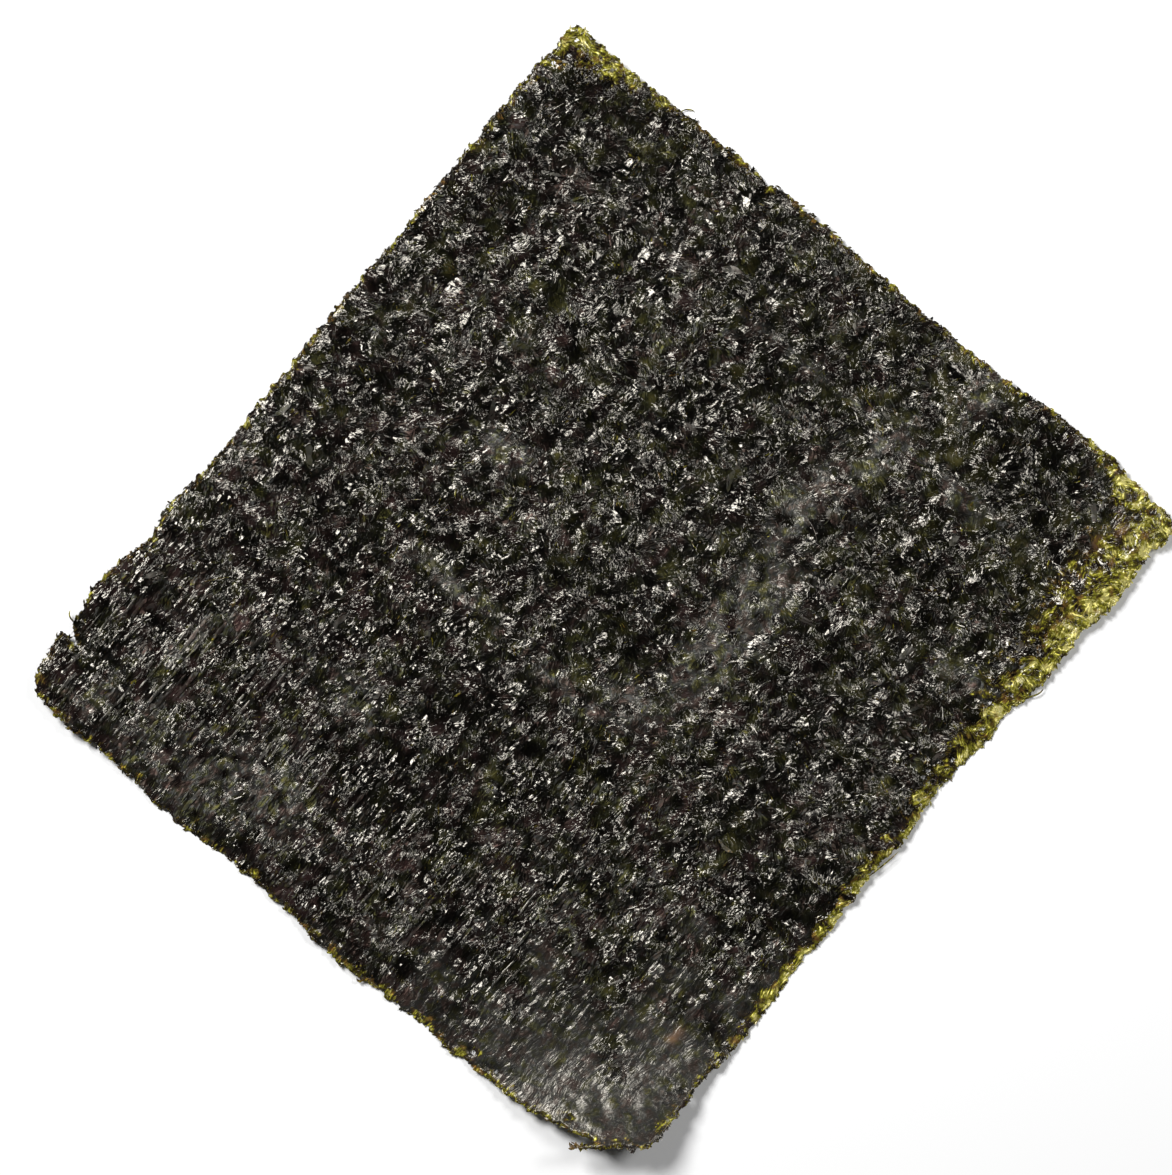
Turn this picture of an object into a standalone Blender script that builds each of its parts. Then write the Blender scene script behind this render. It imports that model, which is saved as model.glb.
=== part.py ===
"""One sheet of nori: chopped seaweed dried on a mat into a thin, matted, ragged sheet.

The sheet lies on a flat surface, with +Z up, +X across it and +Y along it. The origin is under the
middle of its box, on that surface. It is one closed body. Its upper and lower faces share one
triangulation, so that they stay apart wherever the sheet waves.
"""

import bpy
import numpy as np
from mathutils import Vector
from mathutils.geometry import delaunay_2d_cdt

# Driving sizes, in millimetres
MM = 0.001
SHEET_WIDTH = 190.0
SHEET_LENGTH = 210.5
RIM_THICKNESS = 0.64
BODY_THICKNESS = 0.95
RIM_BAND = 5.0

# The torn outline, anticlockwise from the slit near the lower left corner. A corner's landmarks are
# steps in X and Y from that corner of the plain rectangle. An edge's landmarks are the place along
# the edge and how far the edge stands out there, so a negative second value is a hollow.
LOWER_LEFT_CORNER = (
    (-0.3, 20.5), (1.6, 18.5), (2.8, 17.3), (5.8, 15.6), (2.5, 16.1), (0.8, 16.9), (-1.1, 16.5),
    (-0.3, 12.5), (0.3, 8.5), (1.3, 5.4), (3.4, 2.7), (6.0, 1.1), (9.3, 0.6),
)
LOWER_EDGE = ((-70.0, -0.5), (-45.0, 1.0), (-18.0, 0.1), (9.0, 2.2), (28.0, 1.0), (43.0, 1.6), (58.0, 0.9))
LOWER_RIGHT_CORNER = (
    (-29.7, -0.6), (-25.0, 0.6), (-19.0, 2.1), (-12.6, 3.7), (-17.1, -0.8), (-11.5, 2.6), (-8.4, 5.5),
    (-5.0, 8.6), (-2.5, 11.8), (-1.6, 15.2),
)
RIGHT_EDGE = (
    (-75.0, -1.4), (-57.0, -0.3), (-40.0, -1.2), (-14.0, -1.3), (-8.0, -2.2), (4.0, -0.9),
    (17.5, -2.3), (37.0, -0.5), (42.5, -1.4), (55.0, 1.4), (70.0, 0.4), (82.0, 1.7),
)
UPPER_RIGHT_CORNER = ((0.6, -10.2), (1.6, -6.2), (0.4, -2.7), (-1.9, -0.9), (-7.0, -1.4), (-9.0, -0.3))
UPPER_EDGE = ((80.0, 0.1), (70.0, 1.1), (52.0, 0.1), (18.0, -1.0), (-20.0, -0.1), (-58.0, -0.4))
UPPER_LEFT_CORNER = ((7.0, -0.7), (2.0, -0.6), (1.4, -4.2), (1.3, -9.7))
LEFT_EDGE = (
    (85.0, -0.8), (45.0, -0.9), (15.0, -0.4), (-35.0, -0.7), (-49.0, 0.7), (-56.7, -0.8),
    (-65.0, 0.5), (-76.7, 1.5), (-81.0, 0.4),
)
OUTLINE_STEP = 1.6

# The fine teeth of the torn edge
DECKLE_SEED = 11
TOOTH_HEIGHT = 0.42
LOBE_HEIGHT = 0.40
LOBE_PITCH = 7.0
ROOM_FOR_FULL_TEETH = 6.0
FACING_RATIO = 2.0
FACING_STEP = 1.0

# What the drying mat pressed into the sheet: lines along Y from its reeds, every third one modelled,
# and ridges along X from the threads that bind the reeds
RELIEF_SEED = 5
REED_PITCH = 2.08
LINE_PITCH = 3 * REED_PITCH
LINE_HEIGHT = 0.18
THREAD_PITCH = 32.5
FIRST_THREAD = -84.1
THREAD_HEIGHT = 0.28
THREAD_HALF_WIDTH = 1.3
ROWS_TO_A_THREAD = 6
COLUMN_JITTER = 0.3
ROW_JITTER = 1.3
MARGIN_OF_INNER_POINTS = 1.5

# The lumps of matted seaweed
LUMP_HEIGHT = 0.24
LUMP_WAVELENGTHS = (9.0, 24.0)
PATCH_WAVELENGTHS = (30.0, 60.0)
WAVES_IN_A_FIELD = 14
UNDERSIDE_RELIEF = 0.6

# How the sheet lies: flat in the middle, with low swells, lifting edges and one curled corner
SWELL_SEED = 23
SWELL_HEIGHT = 1.5
SWELL_THRESHOLD = 0.35
SWELL_WAVELENGTHS = (60.0, 110.0)
SWELL_FOOT = 0.3
FLAT_RADIUS = 22.0
EDGE_LIFT = 1.7
EDGE_LIFT_STARTS = 0.62
EDGE_WAVELENGTH = 74.0
LEFT_PHASE = -1.7
RIGHT_PHASE = 0.5
LOWER_PHASE = 0.1
UPPER_PHASE = 1.7
CORNER_STARTS = 1.42
UPPER_LEFT_LIFT = 3.4
UPPER_RIGHT_LIFT = 2.3
LOWER_LEFT_LIFT = 2.6
CURL_STARTS = 106.0
CURL_RADIUS = 40.0

# How finely points are told apart when the faces are made, and the angle that stays a sharp edge
MERGE_STEP = 1e-6
SHARP_ANGLE = 0.7

# The look of the bare solid: near black, with a brownish green cast and a slight sheen
SEAWEED_COLOUR = (0.021, 0.022, 0.017, 1.0)
SEAWEED_ROUGHNESS = 0.48


def clear_scene():
    """Remove every object that the file opened with."""
    for old in list(bpy.data.objects):
        bpy.data.objects.remove(old, do_unlink=True)


def outline_landmarks():
    """The landmarks of the torn outline, anticlockwise, in millimetres."""
    right = SHEET_WIDTH / 2
    top = SHEET_LENGTH / 2
    points = [(-right + dx, -top + dy) for dx, dy in LOWER_LEFT_CORNER]
    points += [(x, -top - out) for x, out in LOWER_EDGE]
    points += [(right + dx, -top + dy) for dx, dy in LOWER_RIGHT_CORNER]
    points += [(right + out, y) for y, out in RIGHT_EDGE]
    points += [(right + dx, top + dy) for dx, dy in UPPER_RIGHT_CORNER]
    points += [(x, top + out) for x, out in UPPER_EDGE]
    points += [(-right + dx, top + dy) for dx, dy in UPPER_LEFT_CORNER]
    points += [(-right - out, y) for y, out in LEFT_EDGE]
    return np.array(points)


def curve_through(points, step):
    """A closed centripetal Catmull-Rom curve through the points, read about one step apart."""
    stretches = []
    count = len(points)
    for i in range(count):
        before, start, end, after = (points[(i + k) % count] for k in (-1, 0, 1, 2))
        t1 = np.linalg.norm(start - before) ** 0.5
        t2 = t1 + np.linalg.norm(end - start) ** 0.5
        t3 = t2 + np.linalg.norm(after - end) ** 0.5
        pieces = max(1, round(float(np.linalg.norm(end - start)) / step))
        t = (t1 + (t2 - t1) * np.arange(pieces) / pieces)[:, None]
        a1 = (before * (t1 - t) + start * t) / t1
        a2 = (start * (t2 - t) + end * (t - t1)) / (t2 - t1)
        a3 = (end * (t3 - t) + after * (t - t2)) / (t3 - t2)
        b1 = (a1 * (t2 - t) + a2 * t) / t2
        b2 = (a2 * (t3 - t) + a3 * (t - t1)) / (t3 - t1)
        stretches.append((b1 * (t2 - t) + b2 * (t - t1)) / (t2 - t1))
    return np.concatenate(stretches)


def distances(points, others):
    """The distance from every point to every other point, as a table."""
    return np.linalg.norm(points[:, None, :] - others[None, :, :], axis=2)


def room_across(outline, along):
    """How far each outline point is from an edge that faces it, as across the slit."""
    total = along[-1] + np.linalg.norm(outline[0] - outline[-1])
    apart = np.abs(along[:, None] - along[None, :])
    apart = np.minimum(apart, total - apart)
    across = distances(outline, outline)
    facing = apart > FACING_RATIO * across + FACING_STEP
    return np.where(facing, across, ROOM_FOR_FULL_TEETH).min(axis=1)


def torn_outline():
    """The outline with its fine teeth, which are small where two edges face each other."""
    outline = curve_through(outline_landmarks(), OUTLINE_STEP)
    steps = np.linalg.norm(np.roll(outline, -1, axis=0) - outline, axis=1)
    along = np.concatenate([[0.0], np.cumsum(steps)[:-1]])
    total = float(steps.sum())
    tangent = np.roll(outline, -1, axis=0) - np.roll(outline, 1, axis=0)
    outward = np.stack([tangent[:, 1], -tangent[:, 0]], axis=1)
    outward /= np.linalg.norm(outward, axis=1)[:, None]
    rng = np.random.default_rng(DECKLE_SEED)
    teeth = TOOTH_HEIGHT * rng.uniform(-1.0, 1.0, len(outline))
    knots = int(total / LOBE_PITCH)
    places = np.arange(knots) * total / knots
    lobes = LOBE_HEIGHT * np.interp(along, places, rng.uniform(-1.0, 1.0, knots), period=total)
    share = np.clip(room_across(outline, along) / ROOM_FOR_FULL_TEETH, 0.0, 1.0)
    outline = outline + outward * ((teeth + lobes) * share)[:, None]
    middle = (outline.min(axis=0) + outline.max(axis=0)) / 2
    return outline - middle


def inside(points, outline):
    """Whether each point is inside the outline, by counting the edges that a ray to +X crosses."""
    x, y = points[:, 0, None], points[:, 1, None]
    x1, y1 = outline[:, 0], outline[:, 1]
    x2, y2 = np.roll(x1, -1), np.roll(y1, -1)
    spans = (y1 > y) != (y2 > y)
    rise = np.where(y2 == y1, 1.0, y2 - y1)
    crosses = spans & (x < x1 + (y - y1) * (x2 - x1) / rise)
    return crosses.sum(axis=1) % 2 == 1


def inner_points(outline):
    """Points on the crests and hollows of the mat's lines and along its threads, inside the rim."""
    rng = np.random.default_rng(RELIEF_SEED)
    columns = int(SHEET_WIDTH / LINE_PITCH) + 2
    rows = int(SHEET_LENGTH / THREAD_PITCH * ROWS_TO_A_THREAD) + 2
    column, row = np.meshgrid(np.arange(-columns, columns + 1), np.arange(-rows, rows + 1), indexing="ij")
    on_thread = row % ROWS_TO_A_THREAD == 0
    x = column * LINE_PITCH / 2 + rng.uniform(-COLUMN_JITTER, COLUMN_JITTER, column.shape)
    y = FIRST_THREAD + row * THREAD_PITCH / ROWS_TO_A_THREAD
    y = y + np.where(on_thread, 0.0, rng.uniform(-ROW_JITTER, ROW_JITTER, column.shape))
    points = np.stack([x.ravel(), y.ravel()], axis=1)
    points = points[inside(points, outline)]
    return points[distances(points, outline).min(axis=1) > MARGIN_OF_INNER_POINTS]


def random_field(points, seed, wavelengths):
    """A smooth random height between about -1 and 1: a sum of seeded plane waves."""
    rng = np.random.default_rng(seed)
    heading = rng.uniform(0.0, np.pi, WAVES_IN_A_FIELD)
    number = 2 * np.pi / rng.uniform(*wavelengths, WAVES_IN_A_FIELD)
    phase = rng.uniform(0.0, 2 * np.pi, WAVES_IN_A_FIELD)
    reach = points[:, 0, None] * np.cos(heading) + points[:, 1, None] * np.sin(heading)
    return np.cos(reach * number + phase).sum(axis=1) / np.sqrt(2.0 * WAVES_IN_A_FIELD)


def ramp(value):
    """0 below 0, 1 above 1, with a smooth rise between."""
    share = np.clip(value, 0.0, 1.0)
    return share * share * (3.0 - 2.0 * share)


def swells(points):
    """Low, broad swells, with the sheet flat on the surface between them and round its middle."""
    field = random_field(points, SWELL_SEED, SWELL_WAVELENGTHS) - SWELL_THRESHOLD
    raised = np.maximum(field, 0.0)
    away = ramp(np.linalg.norm(points, axis=1) / FLAT_RADIUS - 1.0)
    return SWELL_HEIGHT * raised * raised / (raised + SWELL_FOOT) * away


def edge_waves(out, along, size, low_phase, high_phase):
    """The waves of two facing edges: how far out each point is, and its place along the edges."""
    rise = ramp((np.abs(out) * 2 / size - EDGE_LIFT_STARTS) / (1.0 - EDGE_LIFT_STARTS))
    phase = np.where(out < 0.0, low_phase, high_phase)
    return rise * (0.5 + 0.5 * np.cos(along * 2 * np.pi / EDGE_WAVELENGTH + phase))


def edge_lift(points):
    """The waves in which the four edges rise from the surface."""
    x, y = points[:, 0], points[:, 1]
    sides = edge_waves(x, y, SHEET_WIDTH, LEFT_PHASE, RIGHT_PHASE)
    ends = edge_waves(y, x, SHEET_LENGTH, LOWER_PHASE, UPPER_PHASE)
    return EDGE_LIFT * (sides + ends)


def corner_lift(points):
    """The lift of the three corners that aren't curled."""
    corners = ((-1, 1, UPPER_LEFT_LIFT), (1, 1, UPPER_RIGHT_LIFT), (-1, -1, LOWER_LEFT_LIFT))
    total = np.zeros(len(points))
    for side, end, height in corners:
        reach = side * points[:, 0] * 2 / SHEET_WIDTH + end * points[:, 1] * 2 / SHEET_LENGTH
        share = np.maximum(reach - CORNER_STARTS, 0.0) / (2.0 - CORNER_STARTS)
        total += height * share * share
    return total


def curl(points):
    """The lower right corner rises along an arc of the curl's radius, about the diagonal."""
    past = np.maximum((points[:, 0] - points[:, 1]) * 0.5 ** 0.5 - CURL_STARTS, 0.0)
    return CURL_RADIUS - np.sqrt(CURL_RADIUS ** 2 - past ** 2)


def relief_of_mat(points):
    """The reeds' lines, the threads' ridges and the lumps, which deepen and fade in patches."""
    depth = 1.0 + 0.6 * random_field(points, RELIEF_SEED + 1, PATCH_WAVELENGTHS)
    lines = LINE_HEIGHT * np.cos(points[:, 0] * 2 * np.pi / LINE_PITCH)
    past_thread = np.mod(points[:, 1] - FIRST_THREAD + THREAD_PITCH / 2, THREAD_PITCH) - THREAD_PITCH / 2
    threads = THREAD_HEIGHT * np.exp(-(past_thread / THREAD_HALF_WIDTH) ** 2)
    lumps = LUMP_HEIGHT * random_field(points, RELIEF_SEED + 2, LUMP_WAVELENGTHS)
    return (lines + threads) * depth + lumps


def face_heights(points, outline):
    """The heights of the lower and of the upper face above the surface, in millimetres."""
    lift = swells(points) + edge_lift(points) + corner_lift(points) + curl(points)
    relief = relief_of_mat(points)
    from_edge = distances(points, outline).min(axis=1)
    body = ramp(from_edge / RIM_BAND)
    thickness = RIM_THICKNESS + (BODY_THICKNESS - RIM_THICKNESS) * body
    lower = np.maximum(lift + UNDERSIDE_RELIEF * relief * body * ramp(lift), 0.0)
    upper = np.maximum(lift + thickness + relief * body, lower + RIM_THICKNESS)
    return lower, upper


def triangulate(outline, inner):
    """Triangles over the outline and the inner points, drawn out along the mat's lines."""
    squeeze = LINE_PITCH / 2 / (THREAD_PITCH / ROWS_TO_A_THREAD)
    flat = np.concatenate([outline, inner]) * (1.0, squeeze)
    rim = list(range(len(outline)))
    edges = [(i, (i + 1) % len(rim)) for i in rim]
    result = delaunay_2d_cdt([Vector(p) for p in flat], edges, [rim], 1, MERGE_STEP)
    places, triangles, origins = result[0], result[2], result[3]
    if len(places) != len(flat) or [o[0] for o in origins] != list(range(len(flat))):
        raise ValueError("the outline crosses itself")
    return np.array(triangles)


def sheet_mesh():
    """The sheet's closed mesh: both faces from one triangulation, and a wall round the rim."""
    outline = torn_outline()
    points = np.concatenate([outline, inner_points(outline)])
    triangles = triangulate(outline, points[len(outline):])
    lower, upper = face_heights(points, outline)
    top = np.column_stack([points, upper])
    bottom = np.column_stack([points, lower - lower.min()])
    count = len(points)
    rim = np.arange(len(outline))
    after = np.roll(rim, -1)
    wall_a = np.column_stack([rim + count, after + count, after])
    wall_b = np.column_stack([rim + count, after, rim])
    faces = np.concatenate([triangles, triangles[:, ::-1] + count, wall_a, wall_b])
    mesh = bpy.data.meshes.new("nori_sheet")
    mesh.from_pydata((np.concatenate([top, bottom]) * MM).tolist(), [], faces.tolist())
    mesh.validate()
    mesh.shade_smooth()
    mesh.set_sharp_from_angle(angle=SHARP_ANGLE)
    return mesh


def seaweed_material():
    """Pressed seaweed: nearly black, with a slight sheen."""
    material = bpy.data.materials.new("pressed_seaweed")
    material.use_nodes = True
    shader = material.node_tree.nodes["Principled BSDF"]
    shader.inputs["Base Color"].default_value = SEAWEED_COLOUR
    shader.inputs["Roughness"].default_value = SEAWEED_ROUGHNESS
    shader.inputs["Metallic"].default_value = 0.0
    return material


def build_sheet():
    """Place the sheet in the scene."""
    sheet = bpy.data.objects.new("nori_sheet", sheet_mesh())
    sheet.data.materials.append(seaweed_material())
    bpy.context.scene.collection.objects.link(sheet)


clear_scene()
build_sheet()
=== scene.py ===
"""The look of one sheet of nori, lying flat and seen from straight above.

Nori is seaweed that was chopped, spread on a reed mat and dried into one thin, matted sheet. The
sheet is nearly black where it is thick and yellow-green where it thins out at its torn rim. Its rough
face is up: reed lines run along +Y, ridges from the mat's threads run along +X, and small shreds
stand out of it everywhere. All sizes are in millimetres until a mesh is made, which is in metres.
"""

import logging
import math
from dataclasses import dataclass
from enum import Enum
from functools import cached_property

import bpy
import numpy as np
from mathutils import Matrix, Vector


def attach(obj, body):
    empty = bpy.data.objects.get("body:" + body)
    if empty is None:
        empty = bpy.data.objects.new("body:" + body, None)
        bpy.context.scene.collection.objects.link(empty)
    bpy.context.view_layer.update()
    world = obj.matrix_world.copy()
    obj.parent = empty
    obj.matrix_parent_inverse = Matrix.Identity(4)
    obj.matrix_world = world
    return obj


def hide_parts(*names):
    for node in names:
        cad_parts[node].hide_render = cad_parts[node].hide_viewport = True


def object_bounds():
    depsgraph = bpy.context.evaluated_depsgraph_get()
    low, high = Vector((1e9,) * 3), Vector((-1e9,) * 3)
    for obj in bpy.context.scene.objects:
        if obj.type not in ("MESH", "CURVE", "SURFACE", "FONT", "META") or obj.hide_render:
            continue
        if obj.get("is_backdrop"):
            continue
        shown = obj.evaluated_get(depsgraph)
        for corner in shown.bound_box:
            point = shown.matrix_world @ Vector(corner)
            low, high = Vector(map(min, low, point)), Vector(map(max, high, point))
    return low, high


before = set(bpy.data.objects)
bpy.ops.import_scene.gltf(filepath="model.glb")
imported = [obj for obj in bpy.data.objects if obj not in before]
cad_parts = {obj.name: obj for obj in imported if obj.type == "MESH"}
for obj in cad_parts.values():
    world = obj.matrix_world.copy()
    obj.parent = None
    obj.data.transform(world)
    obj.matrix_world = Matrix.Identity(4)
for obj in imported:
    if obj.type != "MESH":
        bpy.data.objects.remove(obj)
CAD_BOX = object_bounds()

Array = np.ndarray
ArrayPair = tuple[Array, Array]
Range = tuple[float, float]
Sizes = tuple[float, float, float]
Pairs = tuple[Range, ...]
Marks = tuple[tuple[float, float, float, float, float], ...]
Colour = tuple[float, float, float, float]
Stops = tuple[tuple[float, Colour], ...]
Chance = np.random.Generator
Tree = bpy.types.NodeTree
Node = bpy.types.Node
Socket = bpy.types.NodeSocket
Material = bpy.types.Material

MM = 0.001
TINY = 1e-6
CAD_NODE = "nori_sheet"
CAD_BODY = "root"
BAKE_MAP = "OFBake"

log = logging.getLogger("nori")


def ramp(value: Array) -> Array:
    """A smooth rise from 0 to 1: three times the square less twice the cube, of the value held to 0..1."""
    share = np.clip(value, 0.0, 1.0)
    return share * share * (3.0 - 2.0 * share)


def in_steps(value: float | Array, low: float | Array, high: float | Array) -> Array:
    """A number between low and high for each place, value of the way up."""
    return low + (high - low) * value


@dataclass(frozen=True)
class Field:
    """A smooth random height, mostly between -1 and 1: the sum of plane waves of random heading.

    Its lengths are those of the shortest and of the longest wave.
    """

    seed: int
    lengths: Range
    waves: int = 14

    def at(self, x: Array, y: Array) -> Array:
        """The height at each place.

        Args:
            x: Places along X.
            y: Places along Y.

        Returns:
            One height for each place.
        """
        rng = np.random.default_rng(self.seed)
        heading = rng.uniform(0.0, np.pi, self.waves)
        number = 2 * np.pi / rng.uniform(*self.lengths, self.waves)
        phase = rng.uniform(0.0, 2 * np.pi, self.waves)
        total = np.zeros(np.shape(x))
        for angle, per_mm, start in zip(heading, number, phase):
            total += np.cos((x * np.cos(angle) + y * np.sin(angle)) * per_mm + start)
        return total / np.sqrt(2.0 * self.waves)


@dataclass(frozen=True)
class Patches(Field):
    """Random patches: a smooth rise from 0 to 1 where the field goes up past its threshold."""

    starts: float = 0.0
    over: float = 1.0

    def at(self, x: Array, y: Array) -> Array:
        """How far inside a patch each place is, from 0 to 1."""
        return ramp((super().at(x, y) - self.starts) / self.over)


class Face(Enum):
    """The face of the sheet that something lies on."""

    UPPER = 1
    UNDER = -1


@dataclass(frozen=True, eq=False)
class TornOutline:
    """The sheet's torn outline, anticlockwise, centred on its own box.

    A corner's landmarks are steps in X and Y from that corner of the plain rectangle. An edge's
    landmarks are the place along the edge and how far the edge stands out there.
    """

    width: float = 190.0
    length: float = 210.5
    lower_left: Pairs = (
        (-0.3, 20.5), (1.6, 18.5), (2.8, 17.3), (5.8, 15.6), (2.5, 16.1), (0.8, 16.9), (-1.1, 16.5),
        (-0.3, 12.5), (0.3, 8.5), (1.3, 5.4), (3.4, 2.7), (6.0, 1.1), (9.3, 0.6),
    )
    lower: Pairs = (
        (-70.0, -0.5), (-45.0, 1.0), (-18.0, 0.1), (9.0, 2.2), (28.0, 1.0), (43.0, 1.6), (58.0, 0.9),
    )
    lower_right: Pairs = (
        (-29.7, -0.6), (-25.0, 0.6), (-19.0, 2.1), (-12.6, 3.7), (-17.1, -0.8), (-11.5, 2.6), (-8.4, 5.5),
        (-5.0, 8.6), (-2.5, 11.8), (-1.6, 15.2),
    )
    right: Pairs = (
        (-75.0, -1.4), (-57.0, -0.3), (-40.0, -1.2), (-14.0, -1.3), (-8.0, -2.2), (4.0, -0.9),
        (17.5, -2.3), (37.0, -0.5), (42.5, -1.4), (55.0, 1.4), (70.0, 0.4), (82.0, 1.7),
    )
    upper_right: Pairs = ((0.6, -10.2), (1.6, -6.2), (0.4, -2.7), (-1.9, -0.9), (-7.0, -1.4), (-9.0, -0.3))
    upper: Pairs = ((80.0, 0.1), (70.0, 1.1), (52.0, 0.1), (18.0, -1.0), (-20.0, -0.1), (-58.0, -0.4))
    upper_left: Pairs = ((7.0, -0.7), (2.0, -0.6), (1.4, -4.2), (1.3, -9.7))
    left: Pairs = (
        (85.0, -0.8), (45.0, -0.9), (15.0, -0.4), (-35.0, -0.7), (-49.0, 0.7), (-56.7, -0.8),
        (-65.0, 0.5), (-76.7, 1.5), (-81.0, 0.4),
    )
    step: float = 1.6
    seed: int = 11
    tooth_height: float = 0.42
    lobe_height: float = 0.40
    lobe_pitch: float = 7.0
    full_room: float = 6.0
    facing_ratio: float = 2.0
    facing_step: float = 1.0
    fine_steps: int = 5
    fine_seed: int = 41
    fine_height: float = 0.26
    group_size: int = 3
    group_share: float = 0.8

    def landmarks(self) -> Array:
        """The landmarks, from the slit near the lower left corner round to it again.

        Returns:
            One row of X and Y for each landmark.
        """
        right, top = self.width / 2, self.length / 2

        def corner(side: int, end: int, steps: Pairs) -> list[Range]:
            """The landmarks of one corner."""
            return [(side * right + dx, end * top + dy) for dx, dy in steps]

        points = corner(-1, -1, self.lower_left) + [(x, -top - out) for x, out in self.lower]
        points += corner(1, -1, self.lower_right) + [(right + out, y) for y, out in self.right]
        points += corner(1, 1, self.upper_right) + [(x, top + out) for x, out in self.upper]
        points += corner(-1, 1, self.upper_left) + [(-right - out, y) for y, out in self.left]
        return np.array(points)

    def curve(self) -> Array:
        """The closed centripetal Catmull-Rom curve through the landmarks, read about one step apart.

        Each stretch between two landmarks is a blend of blends: the lines through neighbouring
        landmarks are mixed in proportion to a parameter that grows with the root of their distance.

        Returns:
            One row of X and Y for each point.
        """
        start = self.landmarks()
        before, end, after = (np.roll(start, turn, axis=0) for turn in (1, -1, -2))
        t1 = np.linalg.norm(start - before, axis=1) ** 0.5
        t2 = t1 + np.linalg.norm(end - start, axis=1) ** 0.5
        t3 = t2 + np.linalg.norm(after - end, axis=1) ** 0.5
        pieces = np.maximum(1, np.round(np.linalg.norm(end - start, axis=1) / self.step)).astype(int)
        which = np.repeat(np.arange(len(start)), pieces)
        place = np.arange(len(which)) - np.repeat(np.cumsum(pieces) - pieces, pieces)
        before, start, end, after = (p[which] for p in (before, start, end, after))
        t1, t2, t3 = (t[which, None] for t in (t1, t2, t3))
        t = t1 + (t2 - t1) * (place / pieces[which])[:, None]
        a1 = (before * (t1 - t) + start * t) / t1
        a2 = (start * (t2 - t) + end * (t - t1)) / (t2 - t1)
        a3 = (end * (t3 - t) + after * (t - t2)) / (t3 - t2)
        b1 = (a1 * (t2 - t) + a2 * t) / t2
        b2 = (a2 * (t3 - t) + a3 * (t - t1)) / (t3 - t1)
        return (b1 * (t2 - t) + b2 * (t - t1)) / (t2 - t1)

    @staticmethod
    def outward(points: Array) -> Array:
        """The outward direction at each point of a closed anticlockwise outline, of length 1.

        Args:
            points: The outline.

        Returns:
            One row of X and Y for each point.
        """
        tangent = np.roll(points, -1, axis=0) - np.roll(points, 1, axis=0)
        normal = np.stack([tangent[:, 1], -tangent[:, 0]], axis=1)
        return normal / np.linalg.norm(normal, axis=1)[:, None]

    def room(self, points: Array, along: Array, total: float) -> Array:
        """How far each point is from an edge that faces it, as across the slit, as a share of full room.

        Args:
            points: The outline.
            along: The way along the outline to each point.
            total: The length of the outline.

        Returns:
            One number from 0 to 1 for each point.
        """
        apart = np.abs(along[:, None] - along[None, :])
        apart = np.minimum(apart, total - apart)
        across = np.linalg.norm(points[:, None, :] - points[None, :, :], axis=2)
        facing = apart > self.facing_ratio * across + self.facing_step
        return np.clip(np.where(facing, across, self.full_room).min(axis=1) / self.full_room, 0.0, 1.0)

    @cached_property
    def coarse(self) -> ArrayPair:
        """The outline with the teeth and lobes of the CAD solid, and the room round each point.

        Returns:
            One row of X and Y, and one share, for each point.
        """
        points = self.curve()
        steps = np.linalg.norm(np.roll(points, -1, axis=0) - points, axis=1)
        along, total = np.concatenate([[0.0], np.cumsum(steps)[:-1]]), float(steps.sum())
        rng = np.random.default_rng(self.seed)
        teeth = self.tooth_height * rng.uniform(-1.0, 1.0, len(points))
        knots = int(total / self.lobe_pitch)
        places = np.arange(knots) * total / knots
        lobes = self.lobe_height * np.interp(along, places, rng.uniform(-1.0, 1.0, knots), period=total)
        room = self.room(points, along, total)
        points = points + self.outward(points) * ((teeth + lobes) * room)[:, None]
        return points - (points.min(axis=0) + points.max(axis=0)) / 2, room

    @cached_property
    def fine(self) -> Array:
        """The coarse outline in smaller steps, each pushed in or out, on its own and with its group.

        Returns:
            One row of X and Y for each point.
        """
        points, room = self.coarse
        share = (np.arange(self.fine_steps) / self.fine_steps)[None, :, None]
        points = points[:, None, :] * (1.0 - share) + np.roll(points, -1, axis=0)[:, None, :] * share
        points = points.reshape(-1, 2)
        rng = np.random.default_rng(self.fine_seed)
        own = rng.uniform(-1.0, 1.0, len(points))
        groups = rng.uniform(-1.0, 1.0, math.ceil(len(points) / self.group_size))
        push = own + self.group_share * np.repeat(groups, self.group_size)[: len(points)]
        reach = push * self.fine_height * np.repeat(room, self.fine_steps)
        return points + self.outward(points) * reach[:, None]


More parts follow.
